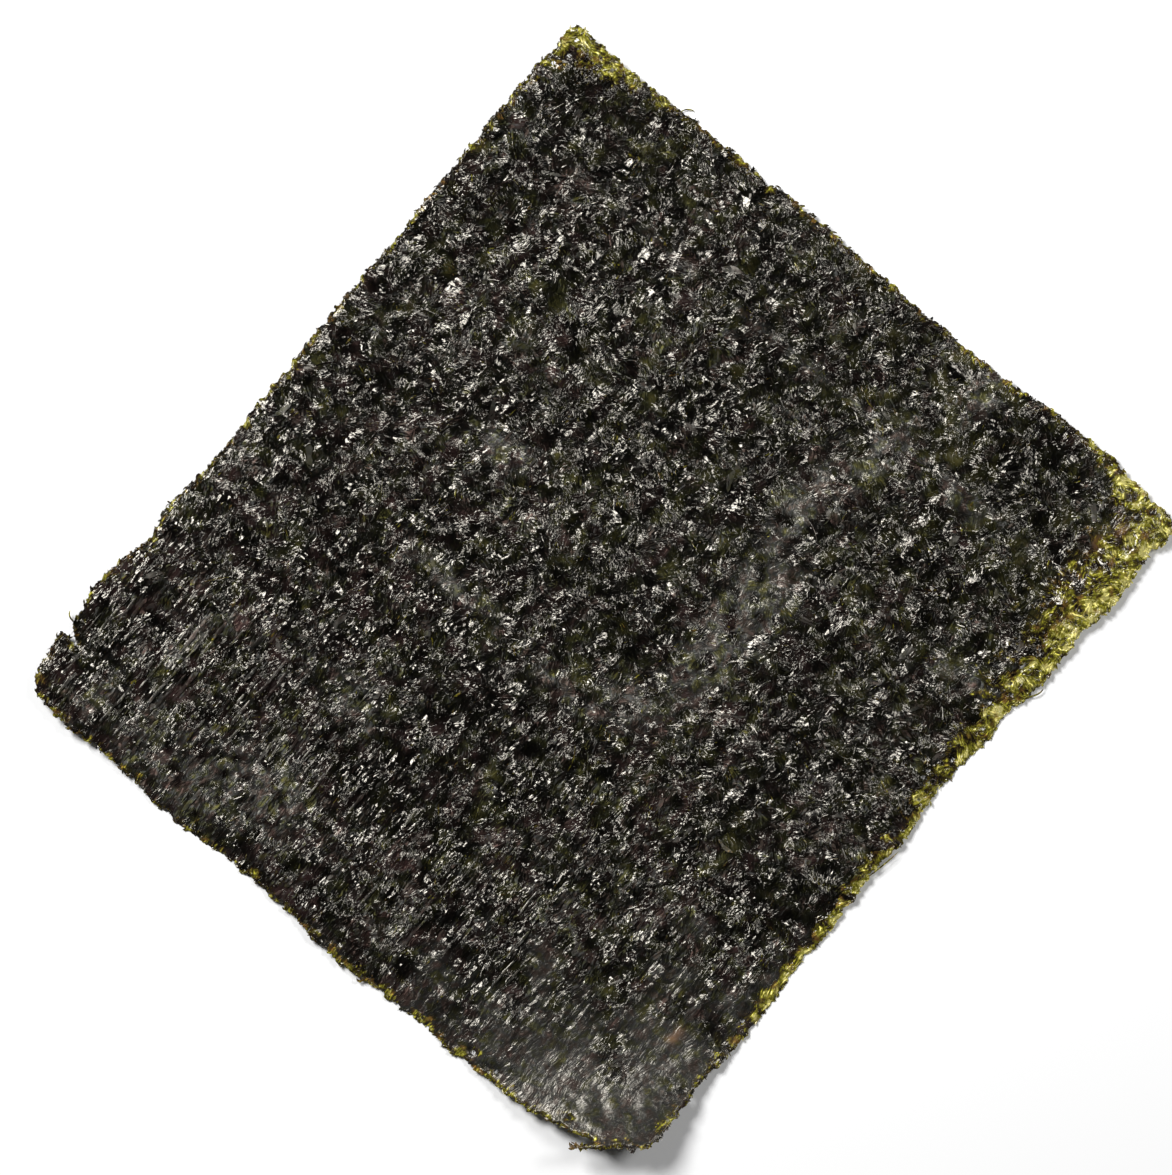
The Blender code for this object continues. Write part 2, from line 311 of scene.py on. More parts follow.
@dataclass(frozen=True, eq=False)
class DepthMap:
    """How deep inside an outline each place is, kept as a table and read by bilinear interpolation."""

    outline: Array
    pitch: float = 0.5
    surround: float = 6.0
    last_cell: float = 1.001

    @cached_property
    def table(self) -> ArrayPair:
        """The table's lowest corner, and the depth at each of its places, negative outside.

        The depth is the distance to the nearest point of the outline. A place is inside where a ray
        from it to +X crosses the outline an odd number of times.

        Returns:
            The corner, and the depths by place along X and along Y.
        """
        low = self.outline.min(axis=0) - self.surround
        size = np.ceil((self.outline.max(axis=0) + self.surround - low) / self.pitch).astype(int) + 1
        xs, ys = (low[k] + self.pitch * np.arange(size[k]) for k in (0, 1))
        start, end = self.outline, np.roll(self.outline, -1, axis=0)
        ox, oy = start.astype(np.float32).T
        depth = np.empty(tuple(size))
        for row, y in enumerate(ys):
            near = np.sqrt(((np.float32(xs)[:, None] - ox) ** 2 + (np.float32(y) - oy) ** 2).min(axis=1))
            spans = (start[:, 1] > y) != (end[:, 1] > y)
            a, b = start[spans], end[spans]
            crossing = a[:, 0] + (y - a[:, 1]) * (b[:, 0] - a[:, 0]) / (b[:, 1] - a[:, 1])
            odd = (crossing[None, :] > xs[:, None]).sum(axis=1) % 2 == 1
            depth[:, row] = np.where(odd, near, -near)
        return low, depth

    def at(self, x: Array, y: Array) -> Array:
        """The depth at each place.

        Args:
            x: Places along X.
            y: Places along Y.

        Returns:
            One depth for each place, in millimetres.
        """
        low, depth = self.table
        fx = np.clip((x - low[0]) / self.pitch, 0.0, depth.shape[0] - self.last_cell)
        fy = np.clip((y - low[1]) / self.pitch, 0.0, depth.shape[1] - self.last_cell)
        i, j = fx.astype(int), fy.astype(int)
        u, v = fx - i, fy - j
        lower = depth[i, j] * (1 - u) + depth[i + 1, j] * u
        upper = depth[i, j + 1] * (1 - u) + depth[i + 1, j + 1] * u
        return lower * (1 - v) + upper * v

    def inward(self, x: Array, y: Array) -> ArrayPair:
        """The direction in which each place gets deeper.

        Args:
            x: Places along X.
            y: Places along Y.

        Returns:
            The X and Y parts of a unit vector for each place.
        """
        dx = self.at(x + self.pitch, y) - self.at(x - self.pitch, y)
        dy = self.at(x, y + self.pitch) - self.at(x, y - self.pitch)
        length = np.maximum(np.hypot(dx, dy), TINY)
        return dx / length, dy / length


@dataclass(frozen=True)
class SmoothCorner:
    """The lower right corner, where the sheet is smooth instead of shaggy, and is a pale grey that is partly
    its own and partly painted sheen.
    """

    starts: float = 79.0
    over: float = 36.0
    way: Range = (0.635, -0.772)
    sway: float = 0.45
    field: Field = Field(85, (8.0, 30.0), 24)

    def dullness(self, x: Array, y: Array) -> Array:
        """How smooth and how grey each place is, the grey partly painted sheen: a smooth rise towards the
        corner, broken by a random field.
        """
        past = (x * self.way[0] + y * self.way[1] - self.starts) / self.over
        return ramp(past + self.sway * self.field.at(x, y))


@dataclass(frozen=True)
class SheetLie:
    """How the sheet lies: flat in the middle, with low swells, wavy edges and one curled corner."""

    width: float = 190.0
    length: float = 210.5
    rim_thickness: float = 0.34
    body_thickness: float = 0.9
    rim_band: float = 5.0
    reed_pitch: float = 2.08
    reeds_to_line: int = 3
    line_height: float = 0.18
    thread_pitch: float = 32.5
    first_thread: float = -84.1
    thread_height: float = 0.28
    thread_half_width: float = 1.3
    unevenness: Field = Field(6, (30.0, 60.0))
    uneven_by: float = 0.6
    lumps: Field = Field(7, (9.0, 24.0))
    lump_height: float = 0.24
    crumples: Field = Field(8, (3.0, 7.5), 30)
    crumple_height: float = 0.32
    under_relief: float = 0.6
    swell_field: Field = Field(23, (60.0, 110.0))
    swell_height: float = 1.5
    swell_threshold: float = 0.35
    swell_foot: float = 0.3
    flat_radius: float = 22.0
    edge_height: float = 1.7
    edge_starts: float = 0.62
    edge_wavelength: float = 74.0
    side_phases: Range = (-1.7, 0.5)
    end_phases: Range = (0.1, 1.7)
    corner_starts: float = 1.42
    corner_heights: tuple[tuple[int, int, float], ...] = ((-1, 1, 3.4), (1, 1, 2.3), (-1, -1, 2.6))
    curl_starts: float = 106.0
    curl_radius: float = 40.0
    corner: SmoothCorner = SmoothCorner()
    corner_calms: float = 0.75

    def swells(self, x: Array, y: Array) -> Array:
        """Low, broad swells: what a smooth field has above its threshold, and none round the middle.

        Args:
            x: Places along X.
            y: Places along Y.

        Returns:
            The height at each place.
        """
        raised = np.maximum(self.swell_field.at(x, y) - self.swell_threshold, 0.0)
        away = ramp(np.hypot(x, y) / self.flat_radius - 1.0)
        return self.swell_height * raised * raised / (raised + self.swell_foot) * away

    def edge_waves(self, out: Array, along: Array, size: float, phases: Range) -> Array:
        """The waves of two facing edges: a cosine along the edges, which grows towards them.

        Args:
            out: Places across the two edges.
            along: Places along them.
            size: How far apart the edges are.
            phases: Where the cosine starts on the lower and on the higher edge, in radians.

        Returns:
            The rise at each place, from 0 to 1.
        """
        rise = ramp((np.abs(out) * 2 / size - self.edge_starts) / (1.0 - self.edge_starts))
        phase = np.where(out < 0.0, *phases)
        return rise * (0.5 + 0.5 * np.cos(along * 2 * np.pi / self.edge_wavelength + phase))

    def corners(self, x: Array, y: Array) -> Array:
        """The lift of three corners: the square of how far a place is past the line where it starts.

        Args:
            x: Places along X.
            y: Places along Y.

        Returns:
            The lift at each place.
        """
        total = np.zeros(np.shape(x))
        for side, end, height in self.corner_heights:
            reach = side * x * 2 / self.width + end * y * 2 / self.length
            share = np.maximum(reach - self.corner_starts, 0.0) / (2.0 - self.corner_starts)
            total += height * share * share
        return total

    def curl(self, x: Array, y: Array) -> Array:
        """The lower right corner's rise along an arc of a circle, about the diagonal."""
        past = np.maximum((x - y) * 0.5 ** 0.5 - self.curl_starts, 0.0)
        return self.curl_radius - np.sqrt(self.curl_radius ** 2 - past ** 2)

    def lift(self, x: Array, y: Array) -> Array:
        """How far the sheet's underside is off the floor, before the relief.

        Args:
            x: Places along X.
            y: Places along Y.

        Returns:
            The height at each place.
        """
        edges = self.edge_waves(x, y, self.width, self.side_phases)
        edges += self.edge_waves(y, x, self.length, self.end_phases)
        return self.swells(x, y) + self.edge_height * edges + self.corners(x, y) + self.curl(x, y)

    def past_thread(self, y: Array) -> Array:
        """How far past the nearest thread each place is, along Y."""
        pitch = self.thread_pitch
        return np.mod(y - self.first_thread + pitch / 2, pitch) - pitch / 2

    def relief(self, x: Array, y: Array) -> Array:
        """The reeds' lines, the threads' ridges, the lumps and the crumples of the rough face.

        A line is a cosine across the reeds, and a ridge is a bell curve of the distance to its thread.

        Args:
            x: Places along X.
            y: Places along Y.

        Returns:
            The height at each place.
        """
        depth = 1.0 + self.uneven_by * self.unevenness.at(x, y)
        lines = self.line_height * np.cos(x * 2 * np.pi / (self.reeds_to_line * self.reed_pitch))
        threads = self.thread_height * np.exp(-(self.past_thread(y) / self.thread_half_width) ** 2)
        lumps = self.lump_height * self.lumps.at(x, y)
        crumples = self.crumple_height * self.crumples.at(x, y)
        calm = 1.0 - self.corner_calms * self.corner.dullness(x, y)
        return ((lines + threads) * depth + lumps + crumples) * calm

    def faces(self, x: Array, y: Array, depth: Array) -> ArrayPair:
        """The heights of the lower and of the upper face above the floor.

        Args:
            x: Places along X.
            y: Places along Y.
            depth: How deep inside the outline each place is.

        Returns:
            The two heights at each place.
        """
        lift, relief = self.lift(x, y), self.relief(x, y)
        body = ramp(depth / self.rim_band)
        thickness = in_steps(body, self.rim_thickness, self.body_thickness)
        lower = np.maximum(lift + self.under_relief * relief * body * ramp(lift), 0.0)
        return lower, np.maximum(lift + thickness + relief * body, lower + self.rim_thickness)


@dataclass(frozen=True)
class SideTable:
    """Numbers along the four sides of the sheet, each side with its own landmarks."""

    right: Pairs
    upper: Pairs
    left: Pairs
    lower: Pairs
    half_width: float = 95.0
    half_length: float = 105.25

    def at(self, x: Array, y: Array) -> Array:
        """The number beside each place, read from the landmarks of the nearest side.

        Args:
            x: Places along X.
            y: Places along Y.

        Returns:
            One number for each place.
        """
        by_side = np.where(x > 0.0, np.interp(y, *zip(*self.right)), np.interp(y, *zip(*self.left)))
        by_end = np.where(y > 0.0, np.interp(x, *zip(*self.upper)), np.interp(x, *zip(*self.lower)))
        nearer = (self.half_width - np.abs(x)) < (self.half_length - np.abs(y))
        return np.where(nearer, by_side, by_end)


@dataclass(frozen=True)
class ThinRim:
    """The margin where the sheet thins out to yellow-green.

    The fade is where the thinness starts to go and how far on it is gone, as shares of the width.
    """

    width: SideTable = SideTable(
        right=(
            (-105.0, 1.6), (-80.0, 2.6), (-40.0, 3.2), (0.0, 3.6), (20.0, 6.0), (45.0, 9.0), (58.0, 13.0),
            (75.0, 18.0), (92.0, 19.0), (105.0, 15.0),
        ),
        upper=(
            (-95.0, 9.0), (-84.0, 10.0), (-74.0, 4.0), (-60.0, 1.4), (60.0, 1.4), (74.0, 3.5), (82.0, 10.0),
            (95.0, 15.0),
        ),
        left=((-105.0, 1.3), (-60.0, 1.2), (60.0, 1.2), (90.0, 2.4), (100.0, 6.5), (105.0, 9.0)),
        lower=((-95.0, 1.4), (-40.0, 1.3), (-5.0, 1.6), (0.0, 2.4), (70.0, 2.6), (95.0, 2.0)),
    )
    most: SideTable = SideTable(
        right=((-105.0, 0.4), (-66.0, 0.45), (-56.0, 0.85), (20.0, 0.85), (45.0, 0.95)),
        upper=((-95.0, 0.95), (-76.0, 0.85), (-64.0, 0.45), (60.0, 0.45), (78.0, 0.95)),
        left=((-105.0, 0.45), (88.0, 0.45), (100.0, 0.9)),
        lower=((-95.0, 0.4), (-10.0, 0.4), (5.0, 0.6), (95.0, 0.55)),
    )
    ragged: Field = Field(61, (3.0, 9.0), 24)
    ragged_by: float = 3.0
    ragged_share: float = 0.55
    clumps: Patches = Patches(62, (4.0, 13.0), 24, starts=0.1, over=0.6)
    clump_share: float = 0.45
    fade: Range = (-0.05, 1.1)

    def thinness(self, x: Array, y: Array, depth: Array) -> Array:
        """How thin the sheet is: up to 1 at the rim, fading to 0 at the margin's ragged inner side.

        Args:
            x: Places along X.
            y: Places along Y.
            depth: How deep inside the outline each place is.

        Returns:
            One thinness for each place.
        """
        width = self.width.at(x, y)
        reach = np.minimum(self.ragged_by, self.ragged_share * width)
        ragged = depth + reach * self.ragged.at(x, y)
        thin = 1.0 - ramp((ragged / width - self.fade[0]) / self.fade[1])
        return self.most.at(x, y) * thin * (1.0 - self.clump_share * self.clumps.at(x, y))


@dataclass(frozen=True, eq=False)
class Tufts:
    """The tufts that the chopped blades lie in. Each has its own middle, heading, lean and cast.

    The middles are a square grid of points, each moved by chance. A place belongs to the tuft whose
    middle is nearest to it after a smooth random warp.
    """

    pitch: float = 3.4
    reach: int = 36
    jitter: float = 0.42
    seed: int = 131
    warp: float = 0.9
    warps: tuple[Field, Field] = (Field(132, (2.5, 7.0)), Field(133, (2.5, 7.0)))
    lean: float = 0.32

    @cached_property
    def chances(self) -> Array:
        """Six random numbers from 0 to 1 for each tuft: X, Y, lean, way of the lean, tint and shade."""
        side = 2 * self.reach + 1
        return np.random.default_rng(self.seed).uniform(0.0, 1.0, (side, side, 6))

    def middles(self, i: Array, j: Array) -> ArrayPair:
        """The X and Y of the tufts' middles."""
        chance = 2.0 * self.jitter * (self.chances[i, j] - 0.5)
        return (i - self.reach + chance[..., 0]) * self.pitch, (j - self.reach + chance[..., 1]) * self.pitch

    def nearest(self, x: Array, y: Array) -> ArrayPair:
        """The tuft that each place belongs to.

        Args:
            x: Places along X.
            y: Places along Y.

        Returns:
            The tufts' grid numbers along X and along Y.
        """
        x = x + self.warp * self.warps[0].at(x, y)
        y = y + self.warp * self.warps[1].at(x, y)
        last = 2 * self.reach - 1
        i, j = (np.clip(np.rint(v / self.pitch).astype(int) + self.reach, 1, last) for v in (x, y))
        least, best_i, best_j = np.full(np.shape(x), np.inf), i, j
        for di, dj in ((di, dj) for di in (-1, 0, 1) for dj in (-1, 0, 1)):
            mx, my = self.middles(i + di, j + dj)
            away = (x - mx) ** 2 + (y - my) ** 2
            nearer = away < least
            least = np.where(nearer, away, least)
            best_i, best_j = np.where(nearer, i + di, best_i), np.where(nearer, j + dj, best_j)
        return best_i, best_j

    def slopes(self, i: Array, j: Array) -> ArrayPair:
        """The slopes of the tufts along X and along Y."""
        lean, way = self.lean * self.chances[i, j, 2] ** 0.5, 2 * np.pi * self.chances[i, j, 3]
        return lean * np.cos(way), lean * np.sin(way)

    def rise(self, x: Array, y: Array, i: Array, j: Array) -> Array:
        """How far each place stands above the middle of its tuft: the slopes times the way from there.

        Args:
            x: Places along X.
            y: Places along Y.
            i: The tufts' grid numbers along X.
            j: The tufts' grid numbers along Y.

        Returns:
            One height for each place.
        """
        mx, my = self.middles(i, j)
        along_x, along_y = self.slopes(i, j)
        return (x - mx) * along_x + (y - my) * along_y


@dataclass(frozen=True, eq=False)
class Grain:
    """How the shreds lie: combed along the reeds in the lower half, tangled in the upper half.

    A tuft's fifth chance also turns its shreds. A mark is the X and Y of its middle, its reach along
    X and along Y, and its strength.
    """

    lie: SheetLie
    tufts: Tufts
    combed_spread: float = 0.34
    tangled_spread: float = 1.35
    own_spread: float = 0.20
    changes_at: Range = (-75.0, 10.0)
    drift: Field = Field(83, (40.0, 90.0))
    drift_by: float = 14.0
    cut_corner: float = 112.0
    cut_band: float = 8.0
    thread_share: float = 0.55
    thread_reach: float = 1.4
    thread_spread: float = 0.35
    spots: Patches = Patches(86, (5.0, 15.0), 30, starts=0.20, over=0.5)
    stretches: Patches = Patches(90, (18.0, 48.0), 24, starts=0.05, over=0.6)
    stretch_share: float = 0.55
    liveliness: Patches = Patches(87, (6.0, 22.0), 30, starts=-0.55, over=1.1)
    # Pale marks along the crease, the threads and the lower left: partly painted sheen in the colour, and
    # rougher there.
    pale_sheen_marks: Marks = (
        (29.0, 8.0, 6.0, 14.0, 1.5), (30.0, 26.0, 7.0, 11.0, 1.6), (23.0, 50.0, 4.0, 12.0, 1.5),
        (30.0, 71.0, 3.5, 10.0, 1.5), (41.0, 99.0, 3.0, 7.0, 1.3), (54.0, 75.0, 6.0, 3.0, 1.1),
        (21.0, -13.5, 6.0, 4.0, 1.2), (-41.0, 14.5, 6.0, 3.0, 1.5), (-30.0, -18.0, 10.0, 2.6, 1.2),
        (8.0, -21.0, 12.0, 2.2, 1.0), (80.0, 43.0, 9.0, 2.6, 1.2), (10.0, 77.3, 70.0, 1.0, 0.9),
        (-52.0, -95.0, 18.0, 7.0, 1.0), (-33.0, -86.0, 10.0, 7.0, 1.3), (-46.0, -92.0, 2.5, 10.0, 1.3),
        (-80.0, -94.0, 2.0, 8.0, 1.3), (-71.0, -68.0, 1.5, 7.0, 1.1), (-32.0, -55.0, 8.0, 5.0, 0.8),
    )
    amber_marks: Marks = (
        (81.0, -69.0, 1.4, 2.0, 1.0), (88.0, 95.0, 2.2, 1.6, 0.8), (84.0, 88.0, 1.6, 2.2, 0.6),
        (90.5, 71.0, 1.8, 1.4, 0.6),
    )
    mark_field: Field = Field(88, (3.0, 10.0), 24)
    mark_breaks: Range = (0.6, 0.8)
    young_patches: Patches = Patches(89, (4.0, 14.0), 24, starts=0.35, over=0.5)
    young_share: float = 0.40
    young_anywhere: float = 0.006
    young_thinness: Range = (0.10, 0.34)

    def pool(self, x: Array, y: Array) -> Array:
        """Where the sheet is flat and black: small spots, and broad stretches that are half as flat.

        Args:
            x: Places along X.
            y: Places along Y.

        Returns:
            One number from 0 to 1 for each place.
        """
        spots, stretches = self.spots.at(x, y), self.stretches.at(x, y)
        plain = (1.0 - self.lie.corner.dullness(x, y)) * (1.0 - self.marked(x, y, self.pale_sheen_marks))
        return np.maximum(spots, self.stretch_share * stretches) * plain

    def marked(self, x: Array, y: Array, marks: Marks) -> Array:
        """How strong the marks are: bell curves of the distance from their middles, broken by a field.

        Args:
            x: Places along X.
            y: Places along Y.
            marks: The marks.

        Returns:
            The sum of the marks, held to 0..1.
        """
        total = np.zeros(np.shape(x))
        for mx, my, reach_x, reach_y, strength in marks:
            total += strength * np.exp(-((x - mx) / reach_x) ** 2 - ((y - my) / reach_y) ** 2)
        broken = ramp(self.mark_breaks[0] + self.mark_breaks[1] * self.mark_field.at(x, y))
        return np.clip(total * broken, 0.0, 1.0)

    def young(self, x: Array, y: Array, rng: Chance) -> Array:
        """How thin a shred is of itself: a few are of young, olive seaweed, in patches.

        Args:
            x: Places along X.
            y: Places along Y.
            rng: The source of chance.

        Returns:
            One thinness for each place, mostly 0.
        """
        share = self.young_share * self.young_patches.at(x, y) + self.young_anywhere
        chosen = rng.uniform(0.0, 1.0, np.shape(x)) < share
        return np.where(chosen, rng.uniform(*self.young_thinness, np.shape(x)), 0.0)

    def looks(self, x: Array, y: Array) -> dict[str, Array]:
        """The named numbers, beside thinness, shade and tint, that the materials read.

        Args:
            x: Places along X.
            y: Places along Y.

        Returns:
            One number from 0 to 1 for each name and place.
        """
        return {
            "tangle": self.tangle(x, y),
            "dull": self.lie.corner.dullness(x, y),
            "low": self.pool(x, y),
            "pale": self.marked(x, y, self.pale_sheen_marks),
            "amber": self.marked(x, y, self.amber_marks),
        }

    def tangle(self, x: Array, y: Array) -> Array:
        """How tangled the shreds are: 0 where they are combed along +Y, 1 where they lie every way."""
        low, high = self.changes_at
        return ramp((y + self.drift_by * self.drift.at(x, y) - low) / (high - low))

    def heading(self, x: Array, y: Array, tuft: ArrayPair, rng: Chance) -> Array:
        """The heading of each shred from +X, in radians: near +Y, turned by its tuft and its own chance.

        Past the cut corner's line it turns along the cut, and on a thread it may lie along the thread.

        Args:
            x: Places along X.
            y: Places along Y.
            tuft: The grid numbers of the shreds' tufts.
            rng: The source of each shred's own chance.

        Returns:
            One angle for each place.
        """
        tangle = self.tangle(x, y)
        spread = in_steps(tangle, self.combed_spread, self.tangled_spread)
        own = rng.normal(0.0, 1.0, np.shape(x))
        along_cut = ramp(((x - y) * 0.5 ** 0.5 - self.cut_corner) / self.cut_band)
        past = np.abs(self.lie.past_thread(y)) < self.thread_reach
        on_thread = past & (rng.uniform(0.0, 1.0, np.shape(x)) < self.thread_share * tangle)
        turned = spread * (2.0 * self.tufts.chances[(*tuft, 4)] - 1.0) + self.own_spread * own
        angle = np.pi / 2 - along_cut * np.pi / 4 + turned
        return np.where(on_thread, self.thread_spread * own, angle)


@dataclass(frozen=True, eq=False)
class Sheet:
    """The sheet's outline, lie, thin rim, tufts and grain together, as every piece reads them."""

    outline: TornOutline = TornOutline()
    lie: SheetLie = SheetLie()
    rim: ThinRim = ThinRim()
    tufts: Tufts = Tufts()
    tuft_band: float = 4.0
    dull_flattens: float = 0.75

    @cached_property
    def depths(self) -> DepthMap:
        """How deep inside the torn outline each place is."""
        return DepthMap(self.outline.fine)

    @cached_property
    def grain(self) -> Grain:
        """How the shreds lie."""
        return Grain(self.lie, self.tufts)

    def upper(self, x: Array, y: Array) -> Array:
        """The height of the upper face at each place, before the tufts."""
        return self.lie.faces(x, y, self.depths.at(x, y))[1]

    def lower(self, x: Array, y: Array) -> Array:
        """The height of the lower face at each place."""
        return self.lie.faces(x, y, self.depths.at(x, y))[0]

    def rim_faces(self, x: Array, y: Array) -> ArrayPair:
        """The heights of the lower and of the upper face, with a place outside taken as on the rim."""
        return self.lie.faces(x, y, np.maximum(self.depths.at(x, y), 0.0))

    def tufted(self, x: Array, y: Array, i: Array, j: Array) -> Array:
        """How far the tufts raise or sink each place, which dies away towards the rim and the smooth corner.

        Args:
            x: Places along X.
            y: Places along Y.
            i: The tufts' grid numbers along X.
            j: The tufts' grid numbers along Y.

        Returns:
            One height for each place.
        """
        share = ramp(self.depths.at(x, y) / self.tuft_band)
        share = share * (1.0 - self.dull_flattens * self.lie.corner.dullness(x, y))
        return self.tufts.rise(x, y, i, j) * share

    def thinness(self, x: Array, y: Array) -> Array:
        """How thin the sheet is at each place, from 0 to 1."""
        return self.rim.thinness(x, y, self.depths.at(x, y))


@dataclass(frozen=True, eq=False)
class PieceMesh:
    """The arrays of one piece: vertices in millimetres, faces in blocks, and named numbers per vertex.

    A block has one row of vertex numbers for each face, and its places say where each corner of each
    face lies on the piece's flat map. An edge is sharp past the sharp angle between its faces.
    """

    vertices: Array
    faces: tuple[Array, ...]
    places: tuple[Array, ...]
    values: dict[str, Array]
    sharp_angle: float | None = None

    def build(self, name: str, material: Material) -> bpy.types.Object:
        """Make the object, in metres, and dress it.

        Args:
            name: The piece's name.
            material: Its finish.

        Returns:
            The new object, which rides on the sheet's CAD body.
        """
        mesh = bpy.data.meshes.new(name)
        mesh.vertices.add(len(self.vertices))
        mesh.vertices.foreach_set("co", (self.vertices * MM).ravel())
        sizes = np.concatenate([np.full(len(block), block.shape[1]) for block in self.faces])
        mesh.loops.add(int(sizes.sum()))
        mesh.loops.foreach_set("vertex_index", np.concatenate([block.ravel() for block in self.faces]))
        mesh.polygons.add(len(sizes))
        mesh.polygons.foreach_set("loop_start", np.cumsum(sizes) - sizes)
        mesh.update(calc_edges=True)
        flat = mesh.uv_layers.new(name=BAKE_MAP)
        flat.uv.foreach_set("vector", np.concatenate([block.ravel() for block in self.places]))
        for label, numbers in self.values.items():
            mesh.attributes.new(label, "FLOAT", "POINT").data.foreach_set("value", numbers.astype(np.float32))
        mesh.shade_smooth()
        if self.sharp_angle is not None:
            mesh.set_sharp_from_angle(angle=self.sharp_angle)
        mesh.validate()
        mesh.materials.append(material)
        piece = bpy.data.objects.new(name, mesh)
        bpy.context.scene.collection.objects.link(piece)
        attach(piece, CAD_BODY)
        log.info("%s: %d faces", name, len(sizes))
        return piece


@dataclass(frozen=True, eq=False)
class MattedBody:
    """The matted sheet itself: a grid of small cells cut to the torn outline, with both faces and rims.

    A face's range on the flat map is its start and its width, and the wall's is its two edges.
    """

    sheet: Sheet
    cell: Range = (0.93, 0.97)
    reach: float = 0.85
    hole_seed: int = 71
    holes: int = 46
    hole_depths: Range = (1.6, 6.0)
    under_dullness: float = 0.6
    upper_map: Range = (0.005, 0.65)
    under_map: Range = (0.668, 0.327)
    wall_map: Range = (0.657, 0.665)
    map_edge: float = 0.005

    def grid(self) -> ArrayPair:
        """The corners of the grid.

        Returns:
            The X and the Y of every corner.
        """
        half = np.abs(self.sheet.outline.fine).max(axis=0)
        count = np.ceil(half / self.cell).astype(int) + 1
        xs, ys = (self.cell[k] * np.arange(-count[k], count[k] + 1) for k in (0, 1))
        return np.meshgrid(xs, ys, indexing="ij")

    def kept_cells(self, x: Array, y: Array) -> Array:
        """Which cells are part of the sheet: those whose middle is inside, less a few pinholes.

        No two kept cells meet at a corner alone, so that the walls close round every rim.

        Args:
            x: The X of every corner of the grid.
            y: The Y of every corner of the grid.

        Returns:
            One truth for each cell.
        """
        middle_x, middle_y = x[:-1, :-1] + self.cell[0] / 2, y[:-1, :-1] + self.cell[1] / 2
        depth = self.sheet.depths.at(middle_x, middle_y)
        kept = depth > 0.0
        rng = np.random.default_rng(self.hole_seed)
        deepest = np.minimum(self.sheet.rim.width.at(middle_x, middle_y), self.hole_depths[1])
        thin = np.argwhere((depth > self.hole_depths[0]) & (depth < deepest))
        for i, j in thin[rng.choice(len(thin), self.holes, replace=False)]:
            kept[i, j] = False
        while True:
            a, b, c, d = kept[:-1, :-1], kept[1:, :-1], kept[1:, 1:], kept[:-1, 1:]
            touching = (a & c & ~b & ~d) | (b & d & ~a & ~c)
            if not touching.any():
                return kept
            kept[:-1, :-1] |= touching
            kept[1:, :-1] |= touching

    def slid(self, x: Array, y: Array, on_rim: Array) -> ArrayPair:
        """The corners of the grid after those on the rim slid along the depth's slope onto the outline.

        Args:
            x: The X of every corner of the grid.
            y: The Y of every corner of the grid.
            on_rim: Which corners are on the rim.

        Returns:
            Their new X and Y.
        """
        for _ in range(2):
            depth = self.sheet.depths.at(x, y)
            ix, iy = self.sheet.depths.inward(x, y)
            slide = np.where(on_rim & (np.abs(depth) < self.reach), depth, 0.0)
            x, y = x - ix * slide, y - iy * slide
        return x, y

    def faces(self, number: Array, kept: Array, around: Array, count: int) -> tuple[Array, ...]:
        """The upper face, the lower face and the walls, as blocks of four-cornered faces.

        A wall stands on each side of a kept cell that has no kept neighbour.

        Args:
            number: The vertex number of each corner of the grid on the upper face.
            kept: Which cells are part of the sheet.
            around: The same with a border of cells that aren't.
            count: How far the lower face's vertex numbers are past the upper face's.

        Returns:
            The three blocks.
        """
        a, b, c, d = number[:-1, :-1], number[1:, :-1], number[1:, 1:], number[:-1, 1:]
        top = np.stack([a, b, c, d], axis=-1)[kept]
        beside = (around[1:-1, :-2], around[2:, 1:-1], around[1:-1, 2:], around[:-2, 1:-1])
        walls = []
        for start, end, neighbour in zip((a, b, c, d), (b, c, d, a), beside):
            bare = kept & ~neighbour
            start, end = start[bare], end[bare]
            walls.append(np.stack([start, start + count, end + count, end], axis=-1))
        return top, top[:, ::-1] + count, np.concatenate(walls)

    def looks(self, x: Array, y: Array, tuft: ArrayPair) -> dict[str, Array]:
        """The named numbers that the materials read, first for the upper face and then for the lower.

        Args:
            x: The vertices' X, of one face.
            y: The vertices' Y, of one face.
            tuft: The grid numbers of the vertices' tufts.

        Returns:
            One number for each name and vertex.
        """
        chance = self.sheet.tufts.chances[tuft]
        above = self.sheet.grain.looks(x, y)
        none = np.zeros(len(x))
        # The lower face is mixed in part towards the pale grey, which is partly painted sheen, and has no
        # pale marks.
        below = above | {"dull": none + self.under_dullness, "pale": none, "amber": none}
        both = {"thin": self.sheet.thinness(x, y), "tint": chance[:, 4], "shade": chance[:, 5]}
        return {label: np.concatenate([above[label], below[label]]) for label in above} | {
            label: np.tile(numbers, 2) for label, numbers in both.items()
        }

    def build(self, material: Material) -> bpy.types.Object:
        """Make the sheet, dress it and put it in the CAD node's place.

        Args:
            material: Its finish.

        Returns:
            The new object.
        """
        x, y = self.grid()
        kept = self.kept_cells(x, y)
        around = np.pad(kept, 1)
        beside = around[:-1, :-1].astype(int) + around[1:, :-1] + around[1:, 1:] + around[:-1, 1:]
        used, on_rim = beside > 0, (beside > 0) & (beside < 4)
        x, y = self.slid(x, y, on_rim)
        number = np.full(used.shape, -1)
        number[used] = np.arange(used.sum())
        x, y, on_rim = x[used], y[used], on_rim[used]
        tuft = self.sheet.tufts.nearest(x, y)
        depth = np.where(on_rim, 0.0, np.maximum(self.sheet.depths.at(x, y), 0.0))
        lower, upper = self.sheet.lie.faces(x, y, depth)
        upper = upper + self.sheet.tufted(x, y, *tuft) * ~on_rim
        upper = np.maximum(upper, lower + self.sheet.lie.rim_thickness)
        vertices = np.column_stack([np.tile(x, 2), np.tile(y, 2), np.concatenate([upper, lower])])
        faces = self.faces(number, kept, around, len(x))
        mesh = PieceMesh(vertices, faces, self.places(vertices, faces), self.looks(x, y, tuft))
        piece = mesh.build("matted_sheet", material)
        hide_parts(CAD_NODE)
        return piece

